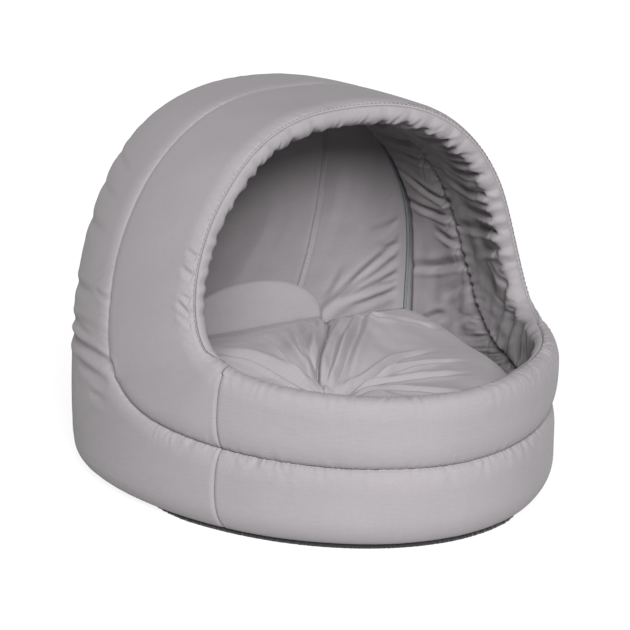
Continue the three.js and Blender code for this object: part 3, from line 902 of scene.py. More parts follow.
# Folds of its rear channel, from the channel seam inward, (p, q)
REAR_CREASES = (
    Crease(((112, 212), (100, 205), (90, 198)), 5.0, 2.8, 1.0),
    Crease(((110, 212), (82, 217), (52, 233), (42, 241)), 3.4, 3.6, 0.8, 0.3),
    Crease(((110, 200), (90, 196), (66, 197), (33, 204)), 3.6, 3.6, 1.0, 0.4),
    Crease(((112, 188), (97, 181)), 4.0, 2.6, 1.0),
    Crease(((112, 194), (104, 189)), 3.0, 2.4, 1.0),
    Crease(((112, 168), (98, 159)), 4.6, 2.8, 1.0),
    Crease(((111, 171), (89, 171), (60, 178)), 2.8, 3.6, 0.9),
    Crease(((112, 154), (83, 144), (58, 136), (23, 131)), 3.8, 4.2, 1.0, 0.3),
    Crease(((112, 134), (79, 115), (63, 104)), 3.0, 4.4, 0.9),
    Crease(((122, 108), (94, 89)), 3.2, 4.0, 1.0),
    Crease(((38, 78), (54, 88), (77, 95)), 3.4, 4.0, 0.5),
    Crease(((112, 236), (102, 229)), 3.6, 2.2, 1.0),
    Crease(((112, 228), (100, 223)), 3.2, 2.2, 1.0),
    Crease(((112, 243), (92, 240)), 3.2, 2.6, 1.0),
    Crease(((108, 262), (80, 262), (40, 272)), 3.2, 4.0, 1.0, 0.3),
    Crease(((106, 290), (70, 288), (34, 300)), 3.0, 4.0, 1.0, 0.3),
    Crease(((104, 320), (70, 322), (34, 326)), 3.0, 4.2, 1.0, 0.3),
)

# Folds of the back wall's lining, (x, z)
BACK_CREASES = (
    Crease(((70, 300), (68, 269), (62, 232), (55, 181), (47, 141), (40, 112)), 3.0, 1.5, 0.8, 0.8, 0.35),
    Crease(((8, 230), (6, 191), (-13, 160), (-30, 132)), 1.3, 9.2, 0.0, 0.5, 0.3),
    Crease(((84, 250), (74, 200), (62, 160)), 0.96, 8, 0.0, 0.0, 0.4),
    Crease(((70, 96), (94, 116), (116, 134), (158, 154)), 1.9, 4.6, 0.6, 0.8),
    Crease(((76, 100), (100, 113), (127, 126), (158, 138)), 1.6, 3.9, 0.0, 0.9),
    Crease(((84, 101), (111, 112), (158, 120)), 1.7, 3.9, 0.0, 0.9),
    Crease(((92, 97), (122, 101), (158, 103)), 1.6, 3.4, 0.0, 0.9),
    Crease(((72, 102), (84, 121), (94, 146)), 1.2, 5.1, 0.6),
    Crease(((112, 170), (134, 168), (158, 176)), 0.96, 4.6, 0.0, 0.9),
    Crease(((126, 152), (142, 148), (158, 150)), 1.1, 3.4, 0.0, 1.0),
    Crease(((128, 112), (142, 110), (158, 112)), 1.1, 2.8, 0.0, 1.0),
    Crease(((-60, 190), (-72, 150), (-84, 120)), 0.96, 9.2, 0.0, 0.5),
)

# Line of the cushion's deepest pleat: a soft valley with a sharp one in it
DEEP_FOLD = ((-12, 20), (-11, 40), (26, 84), (59, 133), (74, 166))

# Pleats of the cushion, from the tuft outward, (x, y)
CUSHION_CREASES = (
    Crease(DEEP_FOLD, 6.3, 5.2, 0.7, 1.0, 0.35),
    Crease(DEEP_FOLD, 8, 1.1, 0.7, 1.0, 0.1),
    Crease(((61, 146), (70, 160), (80, 176)), 4.6, 3, 0.0, 1.0, 0.2),
    Crease(((-8, 28), (-6, 58), (8, 96), (20, 126), (30, 158)), 4.6, 4.1, 0.8),
    Crease(((-13, 28), (-11, 60), (-7, 84), (-5, 110), (0, 134)), 4.1, 3.8, 0.8),
    Crease(((-18, 28), (-25, 59), (-21, 86), (-23, 111), (-32, 140)), 5.8, 4.5, 0.8),
    Crease(((52, 150), (36, 112), (20, 86)), 3.9, 4.5),
    Crease(((-6, 28), (2, 38), (17, 56), (45, 90), (66, 111), (84, 121)), 5.3, 4.1, 0.8),
    Crease(((-4, 22), (13, 34), (44, 67), (76, 105), (98, 133), (124, 150)), 5.8, 3.8, 0.8),
    Crease(((-2, 16), (13, 17), (39, 21), (77, 40), (101, 46), (126, 44)), 5.5, 3.8, 0.8),
    Crease(((80, 128), (90, 116), (98, 106), (123, 110), (142, 110), (152, 102)), 4.6, 3.8, 0.2, 0.6),
    Crease(((0, 12), (15, 15), (38, 13), (60, 14), (92, 14), (142, 12)), 5.8, 3.6, 0.8),
    Crease(((0, 6), (13, 6), (33, -4), (81, -17), (122, -24)), 4.6, 4.1, 0.8),
    Crease(((162, 150), (160, 130), (156, 110)), 4.6, 2.7, 0.8),
    Crease(((-24, 20), (-44, 42), (-66, 76), (-88, 104)), 5.1, 4.5, 0.8),
    Crease(((-26, 12), (-56, 20), (-92, 40), (-124, 62)), 5.1, 4.5, 0.8),
    Crease(((-26, 4), (-60, -4), (-104, -2), (-136, 8)), 4.6, 4.5, 0.8),
    Crease(((-20, -2), (-46, -34), (-76, -60), (-98, -70)), 4.6, 4.5, 0.8),
    Crease(((-14, -4), (-20, -44), (-30, -84), (-32, -112)), 4.6, 4.5, 0.8),
    Crease(((-8, -4), (6, -40), (14, -80), (16, -116)), 4.6, 4.5, 0.8),
    Crease(((-2, 0), (28, -32), (62, -60), (88, -70)), 4.6, 4.5, 0.8),
)


@dataclass(frozen=True)
class Chart:
    """Where the points of one channel of a cloth lie.

    Attributes:
        u: distance along the channel seam from the crown, left negative.
        m: the same along the mouth.
        d0: distance from the channel's first seam.
        d1: distance from its last seam, negative past the mouth line.
        p: distance forward along the plan.
        q: distance up the arch.
        w: stations.
        side: -1 on the left, 1 on the right.
    """

    u: Array
    m: Array
    d0: Array
    d1: Array
    p: Array
    q: Array
    w: Array
    side: Array


@dataclass(frozen=True)
class SewnRow:
    """Gathers laid on a channel.

    Attributes:
        gathers: the pleats.
        along: chart coordinate that runs along their seam.
        away: chart coordinate that is the distance from it.
        share: name of the strength that they follow, or "even".
        shift: added to the distance.
    """

    gathers: Gathers
    along: str
    away: str
    share: str = "even"
    shift: float = 0.0


# Gathers of each channel, the rear or lower one first, then the one next to the mouth. Most run
# along the whole seam, and the short spans along one stretch of it
OUTER_ROWS = (
    (
        SewnRow(Gathers((-475, -395), 4.6, 0.55, 15.0, 0.25, 11, -0.5), "u", "d1"),
        SewnRow(Gathers((395, 475), 4.6, 0.55, 15.0, 0.25, 12, 0.5), "u", "d1"),
        SewnRow(Gathers((-320, -235), 6.0, 0.8, 17.0, 0.3, 13, 0.3), "u", "d1"),
        SewnRow(Gathers((235, 320), 6.0, 0.8, 17.0, 0.3, 14, -0.3), "u", "d1"),
        SewnRow(Gathers((-700, 700), 14.0, 1.2, 10.0, 0.4, 15), "u", "d1", "low"),
        SewnRow(Gathers((-700, 700), 8.0, 0.7, 6.0, 0.3, 16), "u", "d1"),
        SewnRow(Gathers((-500, 500), 15.0, 0.45, 14.0, 0.5, 17), "u", "d0", "high"),
    ),
    (
        SewnRow(Gathers((-700, 700), 12.0, 0.55, 8.0, 0.3, 18), "u", "d0", "low"),
        SewnRow(Gathers((-700, 700), 8.0, 0.3, 5.0, 0.3, 19), "u", "d0"),
        SewnRow(Gathers((-290, -150), 7.0, 0.35, 16.0, 0.3, 20, 0.7), "m", "d1"),
        SewnRow(Gathers((-560, 560), 9.0, 0.4, 10.0, 0.3, 21), "m", "d1"),
    ),
)
LINING_ROWS = (
    (
        SewnRow(Gathers((-700, 700), 9.0, 2.2, 16.0, 0.4, 31), "u", "d1"),
        SewnRow(Gathers((320, 500), 7.0, 2.0, 34.0, 0.25, 32, -0.3), "u", "d1"),
        SewnRow(Gathers((-500, -320), 7.0, 2.0, 34.0, 0.25, 33, 0.3), "u", "d1"),
        SewnRow(Gathers((-700, 700), 15.0, 1.4, 30.0, 0.4, 34), "u", "d0"),
    ),
    (
        SewnRow(Gathers((-700, 700), 10.0, 2.0, 20.0, 0.4, 35), "u", "d0"),
        SewnRow(Gathers((-560, 560), 11.0, 0.9, 90.0, 0.3, 36, -0.45), "m", "d1", "pleats", 30.0),
        SewnRow(Gathers((-560, 560), 5.5, 0.25, 90.0, 0.2, 37, -0.4), "m", "d1", "crest", 30.0),
        SewnRow(Gathers((-560, 560), 24.0, 0.8, 90.0, 0.4, 38, -0.3), "m", "d1", "broad", 10.0),
    ),
)
FRONT_RIM_GATHERS = Gathers((-560, 560), 9.0, 1.6, 12.0, 0.5, 22)


@dataclass
class Shell:
    """The four cloths of the padded wall: hood and front, outer and lining.

    Attributes:
        form: surface that the cloths lie on.
        finishes: materials of the bed.
        skin_gap: distance of a cloth's hidden side from the middle of the wall.
        seam_out: height of the outer channel seam, at the crown and at the front.
        seam_in: height of the lining's channel seam.
        base: height of both cloths at the sole seam.
        rear_out: height of the outer cloth at the rear seam.
        rear_in: height of the lining at the rear seam.
        swell_y: plane of the rear seam inside, from which the lining may swell.
        swell_slope: rise of the lining for each millimetre ahead of that plane.
        rim_reach: how far the rim goes past the mouth line.
        rim_out: half thickness of the rim outside.
        rim_in: half thickness of the rim inside, left and right.
        rim_seam_ends: angle of the rim seam on the roll, at the hood and at the front.
        seam_turns: station at which the rim seam starts to turn inward and stations over which
            it does, on the left and on the right.
        rim_round: radius that turns degrees round the rim into millimetres.
        roll_from: angle at which the outer cloth starts round the rim.
        even_to: station up to which left and right grow apart from the crown.
        edge_round: radius of the padding at the rear and sole seams.
        rear_round: radius behind the channel seam at the crown, and its growth to the front.
        mouth_round: the same ahead of the seam, outside.
        lining_round: radius ahead of the channel seam, inside.
        rim_slope: run of the outer cloth's fall to the rim.
        lining_slope: run of the lining's fall to the rim, on the left and on the right.
        least: least height of a cloth.
        join_gap: half the gap between hood and front at the side join.
        join_dip: depth and half width of the dip beside the side join.
        dip_from: height that a cloth needs to have the dip.
        join_bow: how far the side join bows, in the rear and in the mouth channel.
        join_reach: distance over which the bow fades.
        centre_fade: stations over which the relief fades to the front centre.
        rim_calm: share of the lining's relief that is gone past the rim's crest.
        step: step along the channel seam.
        across: rows across a channel.
        under: rows across a channel's hidden side.
        roll: rows round the rim.
        stitch_pitch: distance between stitches.
        thread_sizes: length and radius of a stitch, in the channel seam and at the rim.
        thread_sunk: depth of the channel's stitches under the seam's height.
        second_row: run from the crown at which the rim's second row of stitches starts.
        turns: degrees from the rim seam to its two rows of stitches.
    """

    form: BedForm
    finishes: Finishes
    skin_gap: float = 0.2
    seam_out: tuple[float, float] = (9.0, 4.3)
    seam_in: float = 4.5
    base: float = 3.0
    rear_out: float = 9.0
    rear_in: float = 1.6
    swell_y: float = 166.0
    swell_slope: float = 1.6
    rim_reach: float = 8.0
    rim_out: float = 10.0
    rim_in: tuple[float, float] = (7.0, 9.0)
    rim_seam_ends: tuple[float, float] = (40.0, 120.0)
    seam_turns: tuple[tuple[float, float], ...] = ((0.55, 1.45), (0.9, 2.0))
    rim_round: float = 9.0
    roll_from: float = 20.0
    even_to: float = 0.6
    edge_round: float = 22.0
    rear_round: tuple[float, float] = (15.0, 4.0)
    mouth_round: tuple[float, float] = (8.0, 15.0)
    lining_round: float = 10.0
    rim_slope: float = 13.0
    lining_slope: tuple[float, float] = (26.0, 60.0)
    least: float = 1.0
    join_gap: float = 0.25
    join_dip: tuple[float, float] = (1.4, 1.7)
    dip_from: float = 2.6
    join_bow: tuple[float, float] = (-4.0, -2.5)
    join_reach: float = 30.0
    centre_fade: float = 0.06
    rim_calm: float = 0.6
    step: float = 1.25
    across: int = 58
    under: int = 10
    roll: int = 22
    stitch_pitch: float = 4.3
    thread_sizes: tuple[tuple[float, float], ...] = ((2.6, 0.55), (3.0, 0.22))
    thread_sunk: float = 0.55
    second_row: float = 60.0
    turns: tuple[float, float] = (9.0, 30.0)

    def stations(self, hood: bool) -> tuple[Array, Array, Array]:
        """Stations of a cloth from its left join to its right join, a step apart along the
        channel seam.

        Args:
            hood: whether it is a cloth of the hood and not of the front.

        Returns:
            Stations, sides, and shifts along the plan that open the join's gap.
        """
        keys = self.form.keys("channel", 0)
        first, last = (keys[2], 0.0) if hood else (keys[2], keys[3])
        count = int(abs(last - first) / self.step)
        w = np.interp(np.linspace(first, last, count), keys, STATIONS)
        side = np.concatenate([-np.ones(count), np.ones(count - 1)])
        w = np.concatenate([w, w[-2::-1]])
        nudge = np.zeros(len(w))
        nudge[0] = nudge[-1] = -self.join_gap if hood else self.join_gap
        return w, side, nudge

    def rim_seam(self, w: Array, side: Array) -> Array:
        """Angle on the rim's roll at which outer cloth meets lining, from its outer side: it
        turns inward from the hood to the front, later on the right."""
        start, over = (np.where(side > 0, right, left) for left, right in zip(*self.seam_turns))
        return mixed(self.rim_seam_ends, smooth((w - start) / over))

    def inner_half(self, w: Array, side: Array) -> Array:
        """Half thickness of the rim on its inner side: thinner on the left than on the right."""
        target = np.where(side < 0, self.rim_in[0], self.rim_in[1])
        return mixed((sum(self.rim_in) / 2, target), smooth(w / self.even_to))

    def rim_half(self, angle: Array, w: Array, side: Array) -> Array:
        """Half thickness of the rim at an angle round it, in radians."""
        return np.where(np.cos(angle) >= 0, self.rim_out, self.inner_half(w, side))

    def relief(self, face: Face, part: int, at: Chart) -> Array:
        """Height of the gathers and creases of one channel, none at the front centre.

        Args:
            face: outer cloth or lining.
            part: 0 for the rear or lower channel, 1 for the one next to the mouth.
            at: places in the channel.

        Returns:
            Heights over the plain padding.
        """
        made = self.relief_outer(part, at) if face is Face.OUTER else self.relief_lining(part, at)
        return made * smooth((3.0 - at.w) / self.centre_fade)

    def relief_outer(self, part: int, at: Chart) -> Array:
        """Outer cloth: dimples of the seam's stitches, slight unevenness, gathers, creases."""
        low = smooth((at.w - 1.0) / 0.8)
        pulls = (0.5 + 0.5 * np.cos(2 * np.pi * at.u / self.stitch_pitch)) ** 2
        h = -mixed((0.35, 1.0), low) * bell((at.d0 if part else at.d1) / 2.4) * pulls
        h = h + 0.35 * waves(at.u, at.d0, 80.0, 3 + part)
        h = gathered(h, OUTER_ROWS[part], at, {"even": 1.0, "low": low, "high": 1.0 - low})
        return h + creased(OUTER_CREASES, at.p, at.q)

    def relief_lining(self, part: int, at: Chart) -> Array:
        """Lining: slack unevenness, gathers and creases. Next to the mouth the pleats crowd on
        the rim's crest, strongest on the right of the hood, and a swelling stands at the corner."""
        h = 0.9 * waves(at.u, at.d0 * 1.6, 60.0, 13 + part) + 0.25 * waves(at.u, at.d0, 20.0, 17 + part)
        crest, hood = bell((at.d1 + 7.0) / 15.0), 1.0 - smooth((at.w - 1.1) / 0.5)
        right = smooth((at.m + 40.0) / 80.0)
        shares = {
            "even": 1.0,
            "crest": crest,
            "pleats": crest * (mixed((0.15, 1.0), right) * mixed((0.3, 1.0), hood)),
            "broad": bell((at.d1 - 16.0) / 26.0) * hood,
        }
        h = gathered(h, LINING_ROWS[part], at, shares)
        if part == 0:
            return h + creased(REAR_CREASES, at.p, at.q)
        h = h + 3.5 * bell((at.w - 1.35) / 0.4) * bell((at.d0 - 18.0) / 18.0)
        return h + creased(MOUTH_CREASES, at.p, at.q) + creased(RIM_SLITS, at.m, at.d1)

    def padding(self, face: Face, part: int, at: Chart) -> Array:
        """Height of a channel over the middle of the wall: full padding, less a quarter round
        down to each seam, and a parabola down to the rim.

        Args:
            face: outer cloth or lining.
            part: 0 for the rear or lower channel, 1 for the one next to the mouth.
            at: places in the channel.

        Returns:
            Heights, before gathers and creases.
        """
        full, outer = self.form.half_thick, face is Face.OUTER
        low, past_corner = smooth(at.w / 2), smooth((at.w - 0.9) / 0.2)
        seam = mixed(self.seam_out, low) if outer else self.seam_in
        if part == 0:
            edge = mixed((self.rear_out if outer else self.rear_in, self.base), past_corner)
            behind = self.rear_round[0] + self.rear_round[1] * low
            h = full - (full - edge) * (1 - quarter(at.d0 / self.edge_round))
            return h - (full - seam) * (1 - quarter(at.d1 / behind))
        if outer:
            ahead = self.mouth_round[0] + self.mouth_round[1] * low
            rim, slope = self.rim_out * math.cos(math.radians(self.roll_from)), self.rim_slope
        else:
            ahead, rim = self.lining_round, self.inner_half(at.w, at.side)
            slope = mixed(self.lining_slope, smooth(at.w / self.even_to) * (at.side > 0))
        h = full - (full - seam) * (1 - quarter(at.d0 / ahead))
        return h - (full - rim) * np.clip(1 - at.d1 / slope, 0.0, 1.0) ** 2

    def bow(self, part: int, p: Array, v: Array) -> Array:
        """How far the points beside the side join shift, most in the middle of the channel."""
        return self.join_bow[part] * np.sin(np.pi * v) * bell((p - self.form.join_at) / self.join_reach)

    def channel_rows(self, face: Face, part: int, at: Chart, v: Array) -> Array:
        """Points of one channel on the side that shows.

        Args:
            face: outer cloth or lining.
            part: 0 for the rear or lower channel, 1 for the one next to the mouth.
            at: places in the channel.
            v: shares of the way across it.

        Returns:
            Points in rows along the seam.
        """
        h = self.padding(face, part, at)
        fade = smooth((at.d0 + 2.0) / 4.0)
        if face is Face.LINING and part == 0:
            middle = self.form.wall(at.p, at.q, 0.0, at.side)
            plane = self.swell_y - self.form.back_lean(middle[..., 2])
            ahead = np.maximum(0.0, plane - middle[..., 1])
            h = np.minimum(h, self.rear_in + self.swell_slope * ahead)
            fade = smooth(at.d0 / 4.0)
        h = np.maximum(h + self.relief(face, part, at) * fade, self.least)
        depth, wide = self.join_dip
        h = h - depth * bell((at.p - self.form.join_at) / wide) * (h > self.dip_from)
        return self.form.wall(at.p + self.bow(part, at.p, v), at.q, face.value * h, at.side)

    def roll_rows(self, face: Face, at: Chart, rim: Array, unit: Array) -> Array:
        """Rows of points round the rim: an ellipse about the mouth line, from the channel's
        end to the seam angle, swollen by the relief and nipped in at the seam.

        Args:
            face: outer cloth or lining.
            at: the last row of the mouth channel; its d0 is the channel's width.
            rim: (N, 2) mouth line.
            unit: (N, 2) unit directions from the channel seam to it.

        Returns:
            Points in rows along the mouth.
        """
        outer = face is Face.OUTER
        first, shift = (self.roll_from, -1.0) if outer else (180.0, 1.0)
        split = self.rim_seam(at.w, at.side)
        k = np.linspace(0, 1, self.roll + 1)[None, 1:]
        angle = first + (split + shift * 0.8 - first) * k
        off, beyond = (np.abs(angle - a) / 180.0 * np.pi * self.rim_round for a in (split, first))
        flat = 0 * k
        place = Chart(
            at.u + flat, at.m + flat, at.d0 + beyond, -beyond,
            rim[:, :1] + unit[:, :1] * beyond, rim[:, 1:] + unit[:, 1:] * beyond,
            at.w + flat, at.side + flat,
        )
        wide = self.relief(face, 1, place)
        tack = 0.5 + 0.5 * np.cos(2 * np.pi * place.m / self.stitch_pitch)
        nip = (0.9 + 0.5 * tack) * bell(off / 1.5)
        if outer:
            sewn = FRONT_RIM_GATHERS.height(place.m, off, smooth(place.w - 1.0))
            swell = wide * smooth(off / 5.0) - nip + sewn * smooth(off / 1.5)
        else:
            wide = wide * (1.0 - self.rim_calm * smooth(beyond / 9.0))
            swell = wide * smooth(off / 5.0) - nip
        a = np.radians(angle)
        x = np.sin(a) * (self.rim_reach + swell)
        height = np.cos(a) * (self.rim_half(a, at.w, at.side) + swell)
        return self.form.wall(rim[:, :1] + unit[:, :1] * x, rim[:, 1:] + unit[:, 1:] * x, height, at.side)

    def hidden_rim(self, face: Face, at: Chart, rim: Array, unit: Array) -> Array:
        """Rows of points inside the rim, on a ray from the mouth line to its seam.

        Args:
            face: outer cloth or lining.
            at: the last row of the mouth channel.
            rim: (N, 2) mouth line.
            unit: (N, 2) unit directions from the channel seam to it.

        Returns:
            Points in rows along the mouth.
        """
        a = np.radians(self.rim_seam(at.w, at.side))
        r, gap = np.linspace(0, 0.84, 5)[None, 1:], -face.value * self.skin_gap
        x = np.sin(a) * self.rim_reach * r + np.cos(a) * gap
        height = np.cos(a) * self.rim_half(a, at.w, at.side) * r - np.sin(a) * gap
        return self.form.wall(rim[:, :1] + unit[:, :1] * x, rim[:, 1:] + unit[:, 1:] * x, height, at.side)

    def build_cloth(self, name: str, face: Face, hood: bool) -> bpy.types.Object:
        """One cloth of the wall as a closed padded piece: the face from the edge over the
        channel seam and round the rim, then the hidden side back.

        Args:
            name: name of the piece.
            face: outer cloth or lining.
            hood: whether it is a cloth of the hood and not of the front.

        Returns:
            The dressed object.
        """
        form, outer = self.form, face is Face.OUTER
        w, side, nudge = self.stations(hood)
        edge = form.on_edge(w)
        channel, mouth = form.on_line("channel", w, side), form.on_line("mouth", w, side)
        seam, rim = channel[:, 1:].copy(), mouth[:, 1:].copy()
        u, m = (side * channel[:, 0])[:, None], (side * mouth[:, 0])[:, None]
        w, side = w[:, None], side[:, None]
        unit = (rim - seam) / np.linalg.norm(rim - seam, axis=1)[:, None]
        start = math.radians(self.roll_from) if outer else math.pi
        end = rim + unit * math.sin(start) * self.rim_reach
        for points in (edge, seam, rim, end):
            points[:, 0] += nudge
        rows, hidden, across, base = [], [], [], 0.0
        for part, (a, b) in enumerate(((edge, seam), (seam, end))):
            v = ends_spaced(self.across)[None, part:]
            flat = 0 * v
            length = np.linalg.norm(b - a, axis=1)[:, None]
            at = Chart(
                u + flat, m + flat, v * length, (1.0 - v) * length,
                mixed((a[:, :1], b[:, :1]), v), mixed((a[:, 1:], b[:, 1:]), v),
                w + flat, side + flat,
            )
            rows.append(self.channel_rows(face, part, at, v))
            across.append(base + length * v)
            base = base + length
            v = np.linspace(0, 1, self.under)[None, part:]
            far = rim if part else b
            p = mixed((a[:, :1], far[:, :1]), v)
            q = mixed((a[:, 1:], far[:, 1:]), v)
            hidden.append(form.wall(p + self.bow(part, p, v), q, face.value * self.skin_gap, side))
        last = Chart(u, m, length, 0 * length, rim[:, :1], rim[:, 1:], w, side)
        rows.append(self.roll_rows(face, last, rim, unit))
        hidden.append(self.hidden_rim(face, last, rim, unit))
        turned = np.abs(self.rim_seam(w, side) - math.degrees(start))
        k = np.linspace(0, 1, self.roll + 1)[None, 1:]
        across.append(base + turned * k * np.pi / 180.0 * self.rim_round)
        shown, under = np.concatenate(rows, axis=1), np.concatenate(hidden, axis=1)[:, ::-1]
        ring = np.concatenate([shown, under], axis=1)
        across = np.concatenate(across, axis=1)
        back = np.broadcast_to(across[:, -1:], (len(w), under.shape[1]))
        whole = form.keys("channel", 0)[3] + form.keys("mouth", 0)[3]
        run = 0.5 * (u + m) - (0.0 if hood else 0.5 * side * whole)
        uv = np.stack([np.broadcast_to(run, ring.shape[:2]), np.concatenate([across, back], 1)], -1)
        obj = Maker.mesh(name, ring.reshape(-1, 3), Maker.ring_faces(*ring.shape[:2]), uv.reshape(-1, 2))
        return self.finishes.dress(obj, self.finishes.cotton if outer else self.finishes.lining)

    def stitch_row(self, name: str, line: str, turn: float = 0.0) -> bpy.types.Object:
        """One row of stitches, from its left end over the crown to its right end.

        Args:
            name: name of the piece.
            line: name of the sewing line.
            turn: degrees round the rim from its seam.

        Returns:
            The dressed object.
        """
        second = name == "rim_stitches_second"
        points, outs = [], []
        for i, sign in enumerate((-1.0, 1.0)):
            if second and sign < 0:
                continue
            table, keys = self.form.lines[line, i], self.form.keys(line, i)
            start, stop = (self.second_row, keys[1]) if second else (0.0, keys[-1])
            count = int((stop - start) / self.stitch_pitch)
            run = start + (np.arange(count) + 0.5) * self.stitch_pitch
            p, q = (np.interp(run, table[:, 0], table[:, k]) for k in (1, 2))
            side, w = np.full(len(run), sign), np.interp(run, keys, STATIONS)
            place = self.on_channel if line == "channel" else self.on_rim
            at, out = place(p, q, w, side, turn)
            points.append(at[::-1] if sign < 0 else at)
            outs.append(out[::-1] if sign < 0 else out)
        at, out = np.concatenate(points), np.concatenate(outs)
        along = np.gradient(at, axis=0)
        along /= np.linalg.norm(along, axis=1)[:, None]
        out = out - along * (out * along).sum(1)[:, None]
        out /= np.linalg.norm(out, axis=1)[:, None]
        # The channel seam's thread colour holds painted shade of the seam's groove and puckers.
        finish = self.finishes.seam_thread_painted_shade if line == "channel" else self.finishes.rim_thread
        length, radius = self.thread_sizes[line == "mouth"]
        return self.finishes.dress(Maker.stitches(name, at, along, out, length, radius), finish)

    def on_channel(self, p: Array, q: Array, w: Array, side: Array, turn: float) -> tuple[Array, Array]:
        """Middles and outward directions of stitches in the channel seam; turn has no part."""
        seam = mixed(self.seam_out, smooth(w / 2))
        return self.form.wall(p, q, seam - self.thread_sunk, side), self.form.normal(p, q, side)

    def on_rim(self, p: Array, q: Array, w: Array, side: Array, turn: float) -> tuple[Array, Array]:
        """Middles and outward directions of stitches on the rim, turned back from its seam."""
        unit = np.column_stack([p, q]) - self.form.on_line("channel", w, side)[:, 1:]
        unit /= np.linalg.norm(unit, axis=1)[:, None]
        a = np.radians(self.rim_seam(w, side) - turn)
        x, height = np.sin(a) * self.rim_reach, np.cos(a) * self.rim_half(a, w, side)
        at = self.form.wall(p + unit[:, 0] * x, q + unit[:, 1] * x, height, side)
        out = at - self.form.wall(p, q, 0.0, side)
        return at, out / np.linalg.norm(out, axis=1)[:, None]

    def build(self) -> list[bpy.types.Object]:
        """All four cloths and their stitches."""
        pieces = []
        for name, face, hood, node in (
            ("hood_outer_cloth", Face.OUTER, True, "hood_panel"),
            ("hood_inner_cloth", Face.LINING, True, "hood_lining"),
            ("front_outer_cloth", Face.OUTER, False, "front_panel"),
            ("front_inner_cloth", Face.LINING, False, "front_lining"),
        ):
            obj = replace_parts(self.build_cloth(name, face, hood), node)
            pieces.append(obj)
        pieces.append(self.stitch_row("channel_stitches", "channel"))
        pieces.append(self.stitch_row("rim_stitches", "mouth", self.turns[0]))
        pieces.append(self.stitch_row("rim_stitches_second", "mouth", self.turns[1]))
        return pieces


